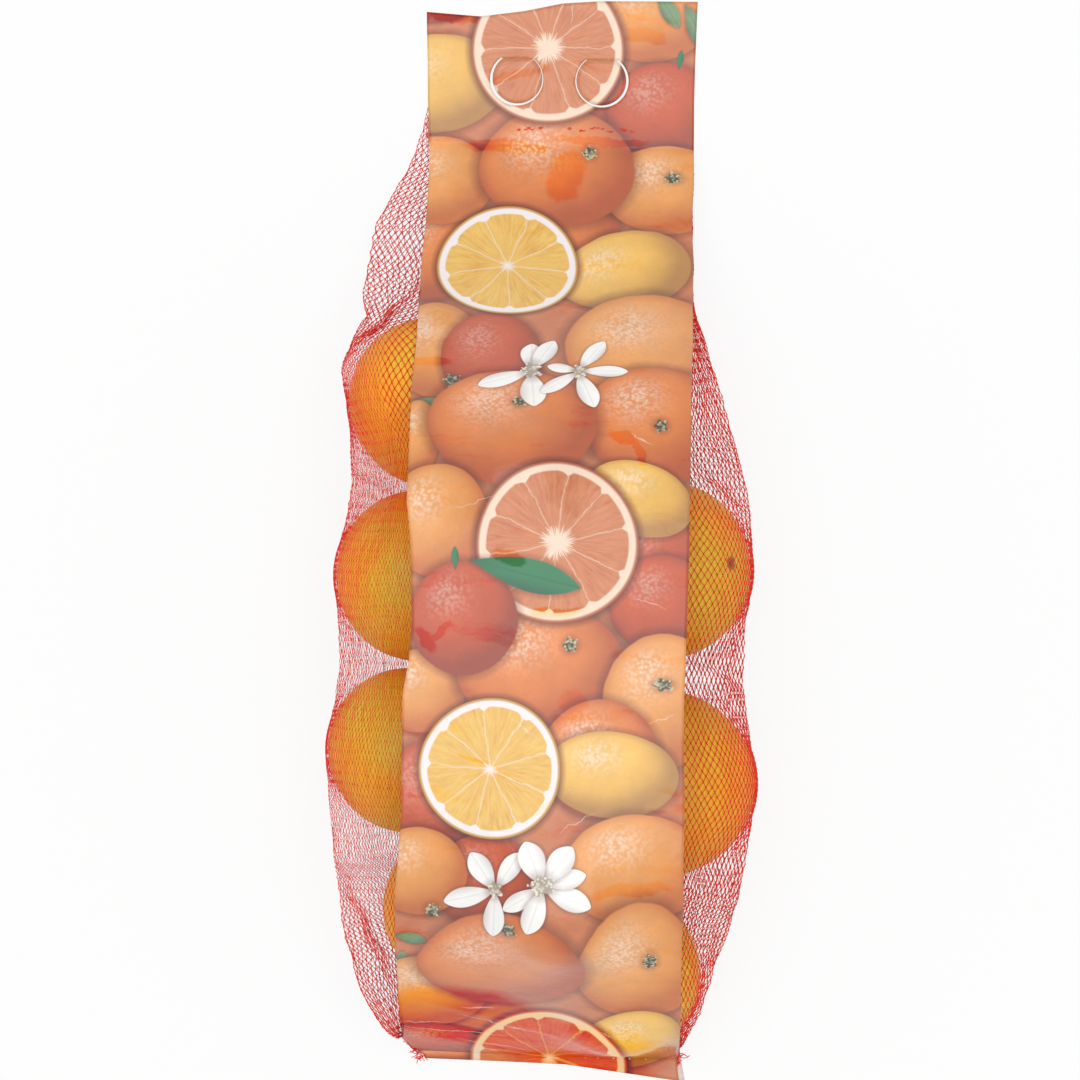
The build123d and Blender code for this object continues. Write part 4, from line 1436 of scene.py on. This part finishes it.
def print_zone(number, groups):
    """Material of one stretch of the printed film, with the motifs that reach into it."""
    material, tree = new_material(f"Printed laminate film {number}")
    place = node(tree, "Attribute", attribute_name="film_mm").outputs["Vector"]
    dimples = node(tree, "TexVoronoi", {"Vector": place, "Scale": 0.8}, feature="SMOOTH_F1").outputs[0]
    pores = node(tree, "MapRange", {0: dimples, 1: 0.1, 2: 0.75})
    mottle = noise(tree, place, 0.07, 5.0, 0.62).outputs[0]
    low, high = number * ZONE_LENGTH - ZONE_LAP, (number + 1) * ZONE_LENGTH + ZONE_LAP
    ground = node(tree, "MixRGB", {0: mottle, 1: linear("#B9603A"), 2: linear("#D98A5C")})
    laid = ground.outputs[0]
    for kind, x, y, wide, half, turn, ink in PRINT:
        reach = 1.2 * max(wide, half)
        if y + reach < low or y - reach > high:
            continue
        local = placed(tree, place, x, y, wide, half, turn)
        colours = [linear(c) if c[0] == "#" else tuple(getattr(chosen("print"), c)) for c in INKS[ink]]
        values = {"Below": laid, "Place": local, "Mottle": mottle}
        if kind == "fruit":
            values |= {"Skin": colours[0], "Shade": colours[1], "Dimples": pores,
                       "Gloss": 0.3 if ink == "mandarin" else 0.6}
        elif kind == "slice":
            values |= dict(zip(("Rind", "Pith", "Flesh", "Deep"), colours))
            values |= {"Walls": (9 if ink == "citron" else 10) / (2 * math.pi),
                       "Core": 0.17 if ink == "blood" else 0.06}
        elif kind == "button":
            values |= {"Light": colours[0], "Fold": colours[1], "Dimples": pores, "Lobes": 0.16}
        else:
            values |= {"Light": colours[0], "Fold": colours[1], "Tip": 0.8 if kind == "petal" else 1.0}
        laid = node(tree, "Group", values, node_tree=groups[kind]).outputs[0]
    # A painted reflection lies over the print: a pale grey-blue mixed into its colour, standing for the
    # softbox's sheen on the film.
    # In the painted gaps it is left out and the print is painted deeper.
    wobble = noise(tree, place, 0.11, 3.0, 0.6).outputs[1]
    shift = node(tree, "VectorMath", {0: wobble, 1: (7.0, 7.0, 0.0), 2: place}, operation="MULTIPLY_ADD")
    bent = node(tree, "VectorMath", {0: shift, 1: (3.5, 3.5, 0.0)}, operation="SUBTRACT")
    slanted = node(tree, "Mapping", {"Vector": bent, "Rotation": (0, 0, 0.35), "Scale": (0.02, 0.075, 1)})
    streaks = noise(tree, slanted, 1.0, 6.0, 0.62)
    # clear: mask of the painted gaps in the reflection, from slanted streaks and the listed stretches.
    clear = node(tree, "MapRange", {0: streaks.outputs[0], 1: 0.58, 2: 0.7, 3: 0.0, 4: 0.55}).outputs[0]
    masks = {REFLECTION_GAP_EDGE: clear, CREASE_HIGHLIGHT_EDGE: 0.0}
    patches = [(*patch, REFLECTION_GAP_EDGE) for patch in REFLECTION_GAPS]
    patches += [(*line, CREASE_HIGHLIGHT_STRENGTH, CREASE_HIGHLIGHT_EDGE) for line in CREASE_HIGHLIGHTS]
    for x, y, wide, half, turn, strength, edge in patches:
        if low < y + max(wide, half) and y - max(wide, half) < high:
            local = placed(tree, bent, x, y, wide, half, turn)
            values = {"Mask": masks[edge], "Place": local, "Strength": strength, "Edge": edge}
            masks[edge] = node(tree, "Group", values, node_tree=groups["clear"]).outputs[0]
    # white: mask of the painted crease highlights.
    clear, white = masks[REFLECTION_GAP_EDGE], masks[CREASE_HIGHLIGHT_EDGE]
    with_painted_reflection = node(tree, "MixRGB", {0: chosen("film").painted_reflection, 1: laid, 2: (0.45, 0.55, 0.58, 1)})
    # In the painted gaps the print is painted deeper and more saturated, as on facets that reflect no light.
    deep = node(tree, "VectorMath", {0: laid, 1: (1.14, 1.1, 0.9), 2: (-0.05, -0.11, -0.13)},
                operation="MULTIPLY_ADD")
    kept = node(tree, "VectorMath", {0: deep, 1: (0.0, 0.0, 0.0)}, operation="MAXIMUM")
    mixed = node(tree, "MixRGB", {0: clear, 1: with_painted_reflection, 2: kept})
    # Painted highlights along the creases, in pale pink.
    with_crease_highlights = node(tree, "MixRGB", {0: white, 1: mixed, 2: linear("#F2DED2")})
    gloss = node(tree, "MapRange", {0: clear, 1: 0.0, 2: 1.0, 3: chosen("film").gloss, 4: 0.05})
    matt = node(tree, "MapRange", {0: clear, 1: 0.0, 2: 1.0, 3: 0.5, 4: 0.2})
    wrinkles = noise(tree, place, 0.16, 3.0, 0.5)
    bump = node(tree, "Bump", {"Height": wrinkles.outputs[0], "Strength": 0.25, "Distance": 0.0016})
    shader = node(tree, "BsdfPrincipled", {
        "Base Color": with_crease_highlights, "Roughness": 0.2, "IOR": 1.5, "Normal": bump, "Specular IOR Level": matt,
        "Coat Weight": gloss, "Coat Roughness": 0.12, "Coat IOR": 1.5,
    })
    return finish_material(material, tree, shader)


def printed_film():
    """Materials of the printed film, stretch by stretch from the hem."""
    leaf = printed_petal()
    groups = {"fruit": printed_fruit(), "slice": printed_slice(), "petal": leaf, "leaf": leaf,
              "button": printed_button(), "clear": painted_light_patch()}
    return [print_zone(number, groups) for number in range(ZONES)]


def plain_film():
    """Polypropylene film, cast, seen from its unprinted side: pale, satin, the print faint behind it."""
    material, tree = new_material("Cast film inside")
    place = node(tree, "Attribute", attribute_name="film_mm").outputs["Vector"]
    ghost = noise(tree, place, 0.035, 2.0, 0.5).outputs[0]
    shown = node(tree, "MapRange", {0: ghost, 1: 0.4, 2: 0.65, 3: 0.0, 4: 0.45})
    colour = node(tree, "MixRGB", {0: shown, 1: tuple(chosen("film").inside), 2: linear("#E3BE9E")})
    ripples = noise(tree, place, 0.16, 3.0, 0.5)
    bump = node(tree, "Bump", {"Height": ripples.outputs[0], "Strength": 0.25, "Distance": 0.0016})
    shader = node(tree, "BsdfPrincipled", {"Base Color": colour, "Roughness": 0.32, "IOR": 1.5, "Normal": bump})
    return finish_material(material, tree, shader)


def welded_film():
    """Two films and the net between them, heat welded: pale, with the sealing bar's fine cross ribs."""
    material, tree = new_material("Heat welded film and net")
    place = node(tree, "TexCoord").outputs["Object"]
    # The bar's ribs stand 1.2 mm apart.
    ribs = node(tree, "TexWave", {"Vector": place, "Scale": 130.0, "Distortion": 0.4}, bands_direction="X")
    cells = node(tree, "TexVoronoi", {"Vector": place, "Scale": 420.0}, feature="DISTANCE_TO_EDGE")
    thread = node(tree, "MapRange", {0: cells, 1: 0.06, 2: 0.16, 3: 0.8, 4: 0.0})
    pale, red = tuple(chosen("film").inside), tuple(chosen("net").colour)
    colour = node(tree, "MixRGB", {0: thread, 1: pale, 2: red})
    bump = node(tree, "Bump", {"Height": ribs.outputs[1], "Strength": 0.5, "Distance": 0.0002})
    shader = node(tree, "BsdfPrincipled", {"Base Color": colour, "Roughness": 0.4, "IOR": 1.5, "Normal": bump})
    return finish_material(material, tree, shader)


def net_thread():
    """Polyethylene thread, knitted: clear red through and through, waxy, paler where it is stretched."""
    material, tree = new_material("Knitted polyethylene thread")
    place = node(tree, "TexCoord").outputs["Object"]
    # The stretch changes over some 8 mm of net.
    stretch = noise(tree, place, 120.0, 2.0, 0.5).outputs[0]
    pale = node(tree, "MapRange", {0: stretch, 1: 0.4, 2: 0.7, 3: 0.0, 4: 0.35})
    colour = node(tree, "MixRGB", {0: pale, 1: tuple(chosen("net").colour), 2: linear("#F0502E")})
    shader = node(tree, "BsdfPrincipled", {"Base Color": colour, "Roughness": 0.5, "IOR": 1.5})
    return finish_material(material, tree, shader)


def orange_peel():
    """Orange rind, waxed: pitted with oil glands, patchy from yellow to orange, browner at the stem end."""
    material, tree = new_material("Waxed orange peel")
    place = node(tree, "Attribute", attribute_name="fruit_mm").outputs["Vector"]
    tones = node(tree, "Attribute", attribute_name="peel_tone").outputs["Vector"]
    tone = node(tree, "SeparateXYZ", {0: tones})
    moved = node(tree, "VectorMath", {0: place, 1: tone.outputs[1]})
    patch = noise(tree, moved, 0.03, 3.0, 0.5).outputs[0]
    riper = node(tree, "Math", {0: tone.outputs[0], 1: 0.3, 2: patch}, operation="MULTIPLY_ADD")
    fine = noise(tree, place, 0.35, 4.0, 0.6).outputs[0]
    per_mm = 1 / (chosen("fruit").gland / MM)
    glands = node(tree, "TexVoronoi", {"Vector": place, "Scale": per_mm}, feature="SMOOTH_F1").outputs[0]
    ripe = node(tree, "MapRange", {0: riper, 1: 0.45, 2: 0.78})
    skin = node(tree, "MixRGB", {0: ripe, 1: tuple(chosen("fruit").green), 2: tuple(chosen("fruit").ripe)})
    speckle = node(tree, "MapRange", {0: fine, 1: 0.3, 2: 0.7, 3: 0.0, 4: 0.18})
    speckled = node(tree, "MixRGB", {0: speckle, 1: skin, 2: linear("#DE8A1C")})
    pit = node(tree, "MapRange", {0: glands, 1: 0.0, 2: 0.4, 3: 0.35, 4: 0.0})
    pitted = node(tree, "MixRGB", {0: pit, 1: speckled, 2: linear("#B8741A")})
    parts = node(tree, "SeparateXYZ", {0: place})
    flat = node(tree, "VectorMath", {0: place, 1: (1, 1, 0)}, operation="MULTIPLY")
    from_axis = node(tree, "VectorMath", {0: flat}, operation="LENGTH").outputs["Value"]
    above = node(tree, "Math", {0: parts.outputs[2], 1: 0.0}, operation="GREATER_THAN")
    button = node(tree, "MapRange", {0: from_axis, 1: 3.4, 2: 2.2})
    stem = node(tree, "Math", {0: button, 1: above}, operation="MULTIPLY")
    stemmed = node(tree, "MixRGB", {0: stem, 1: pitted, 2: linear("#9A7440")})
    navel = node(tree, "MapRange", {0: from_axis, 1: 2.2, 2: 0.4, 3: 0.0, 4: 0.6})
    ended = node(tree, "MixRGB", {0: navel, 1: stemmed, 2: linear("#8A5A24")})
    pits = node(tree, "MapRange", {0: glands, 1: 0.0, 2: 0.6})
    bump = node(tree, "Bump", {"Height": pits, "Strength": 0.6, "Distance": 0.00025})
    shader = node(tree, "BsdfPrincipled", {"Base Color": ended, "Roughness": 0.38, "IOR": 1.45, "Normal": bump})
    return finish_material(material, tree, shader)


# ---- stage


FLOOR_Z = -0.3


def build_stage():
    """White floor that keeps the bag's shadow, a large soft light overhead, and the camera."""
    scene = bpy.context.scene
    material, tree = new_material("White paper floor")
    paper = node(tree, "BsdfDiffuse", {"Color": tuple(chosen("stage").floor)})
    white = node(tree, "Emission", {"Color": (1, 1, 1, 1), "Strength": 1.0})
    seen = node(tree, "LightPath")
    share = node(tree, "Math", {0: seen.outputs["Is Camera Ray"], 1: 0.85}, operation="MULTIPLY")
    mixed = node(tree, "MixShader", {0: share, 1: paper, 2: white})
    shader = finish_material(material, tree, mixed)
    corners = [(x, y, FLOOR_Z) for x, y in ((-3000, -3000), (3000, -3000), (3000, 3000), (-3000, 3000))]
    floor = new_piece("floor", corners, [(0, 1, 2, 3)], shader, smooth=False)
    light_data = bpy.data.lights.new("softbox", "AREA")
    light_data.shape, light_data.size = "SQUARE", chosen("stage").light_side
    light_data.energy = chosen("stage").light_power
    light = bpy.data.objects.new("softbox", light_data)
    light.location = (0.0, 0.0, 2.6)
    scene.collection.objects.link(light)
    world = bpy.data.worlds.new("studio")
    world.use_nodes = True
    tree = world.node_tree
    tree.nodes.clear()
    seen = node(tree, "LightPath").outputs
    even = chosen("stage").surround
    shown = node(tree, "Math", {0: seen["Is Camera Ray"], 1: seen["Is Transmission Ray"]}, operation="MAXIMUM")
    strength = node(tree, "Math", {0: shown, 1: 1 - even, 2: even}, operation="MULTIPLY_ADD")
    background = node(tree, "Background", {"Color": (1, 1, 1, 1), "Strength": strength})
    node(tree, "OutputWorld", {"Surface": background})
    scene.world = world
    camera_data = bpy.data.cameras.new("camera")
    camera_data.lens, camera_data.sensor_width = 139.8, 36.0
    camera = bpy.data.objects.new("camera", camera_data)
    camera.location = (-0.0036, -0.0009, 1.75)
    camera.rotation_euler = (0.0, 0.0, 0.0232)
    scene.collection.objects.link(camera)
    scene.camera = camera
    scene.view_settings.view_transform = "Standard"


# ---- operators


@functools.cache
def band_heights():
    """The front band's heights, worked out once for all the pieces that touch it."""
    return Band()


def shared(name, make):
    """The material of a name, made when it is first needed."""
    return bpy.data.materials.get(name) or make()


def film_materials():
    """The print's materials from the hem on, and the plain film's."""
    prints = [bpy.data.materials.get(f"Printed laminate film {i}") for i in range(ZONES)]
    return prints if all(prints) else printed_film(), shared("Cast film inside", plain_film)


class MESH_OT_bag_front_film(Operator):
    """Build the printed front film with its header"""

    bl_idname = "mesh.bag_front_film"
    bl_label = "Front film"

    def execute(self, context):
        front_film(band_heights(), *film_materials())
        return {"FINISHED"}


class MESH_OT_bag_back_film(Operator):
    """Build the printed back film with its header"""

    bl_idname = "mesh.bag_back_film"
    bl_label = "Back film"

    def execute(self, context):
        back_film(*film_materials())
        return {"FINISHED"}


class MESH_OT_bag_finger_tabs(Operator):
    """Build the two tabs in the finger holes"""

    bl_idname = "mesh.bag_finger_tabs"
    bl_label = "Finger tabs"

    def execute(self, context):
        for side in NET_SIDES:
            finger_tab(side, *film_materials(), band_heights())
        return {"FINISHED"}


class MESH_OT_bag_welds(Operator):
    """Build the welds over and under the fruit"""

    bl_idname = "mesh.bag_welds"
    bl_label = "Welds"

    def execute(self, context):
        welded = shared("Heat welded film and net", welded_film)
        top_weld(welded)
        hem_weld(welded)
        return {"FINISHED"}


class MESH_OT_bag_net(Operator):
    """Build the net on both sides of the bag"""

    bl_idname = "mesh.bag_net"
    bl_label = "Net"

    def execute(self, context):
        thread = shared("Knitted polyethylene thread", net_thread)
        for side in NET_SIDES:
            pieces = net_side(side, band_heights(), thread)
            for piece in pieces[:-1]:
                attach(piece, "bag")
            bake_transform(pieces[-1])
        return {"FINISHED"}


class MESH_OT_bag_loose_thread(Operator):
    """Build the knots at the top weld and the cut thread ends at the hem"""

    bl_idname = "mesh.bag_loose_thread"
    bl_label = "Loose thread"

    def execute(self, context):
        thread = shared("Knitted polyethylene thread", net_thread)
        weld_knots(band_heights(), thread)
        hem_tufts(thread)
        return {"FINISHED"}


class MESH_OT_bag_oranges(Operator):
    """Build the oranges"""

    bl_idname = "mesh.bag_oranges"
    bl_label = "Oranges"

    def execute(self, context):
        for name in FRUIT:
            orange(name, shared("Waxed orange peel", orange_peel))
        return {"FINISHED"}


class MESH_OT_bag_stage(Operator):
    """Set up the floor, the light and the camera"""

    bl_idname = "mesh.bag_stage"
    bl_label = "Stage"

    def execute(self, context):
        build_stage()
        return {"FINISHED"}


OPERATORS = (
    MESH_OT_bag_front_film, MESH_OT_bag_back_film, MESH_OT_bag_finger_tabs, MESH_OT_bag_welds,
    MESH_OT_bag_net, MESH_OT_bag_loose_thread, MESH_OT_bag_oranges, MESH_OT_bag_stage,
)


class VIEW3D_PT_net_bag(Panel):
    """Sizes, colours and pieces of the bag"""

    bl_label = "Net bag"
    bl_idname = "VIEW3D_PT_net_bag"
    bl_space_type = "VIEW_3D"
    bl_region_type = "UI"
    bl_category = "Net bag"

    def draw(self, context):
        for group, kind in GROUPS.items():
            box = self.layout.box()
            box.label(text=group.capitalize())
            for name in kind.__annotations__:
                box.prop(chosen(group), name)
        for operator in OPERATORS:
            self.layout.operator(operator.bl_idname)


CLASSES = (*GROUPS.values(), *OPERATORS, VIEW3D_PT_net_bag)


def register():
    for kind in CLASSES:
        bpy.utils.register_class(kind)
    for group, kind in GROUPS.items():
        setattr(bpy.types.Scene, f"net_bag_{group}", PointerProperty(type=kind))


def unregister():
    for group in GROUPS:
        delattr(bpy.types.Scene, f"net_bag_{group}")
    for kind in reversed(CLASSES):
        bpy.utils.unregister_class(kind)


def main():
    register()
    bpy.ops.mesh.bag_front_film()
    bpy.ops.mesh.bag_back_film()
    bpy.ops.mesh.bag_finger_tabs()
    bpy.ops.mesh.bag_welds()
    bpy.ops.mesh.bag_net()
    bpy.ops.mesh.bag_loose_thread()
    bpy.ops.mesh.bag_oranges()
    bpy.ops.mesh.bag_stage()


if __name__ == "__main__":
    main()
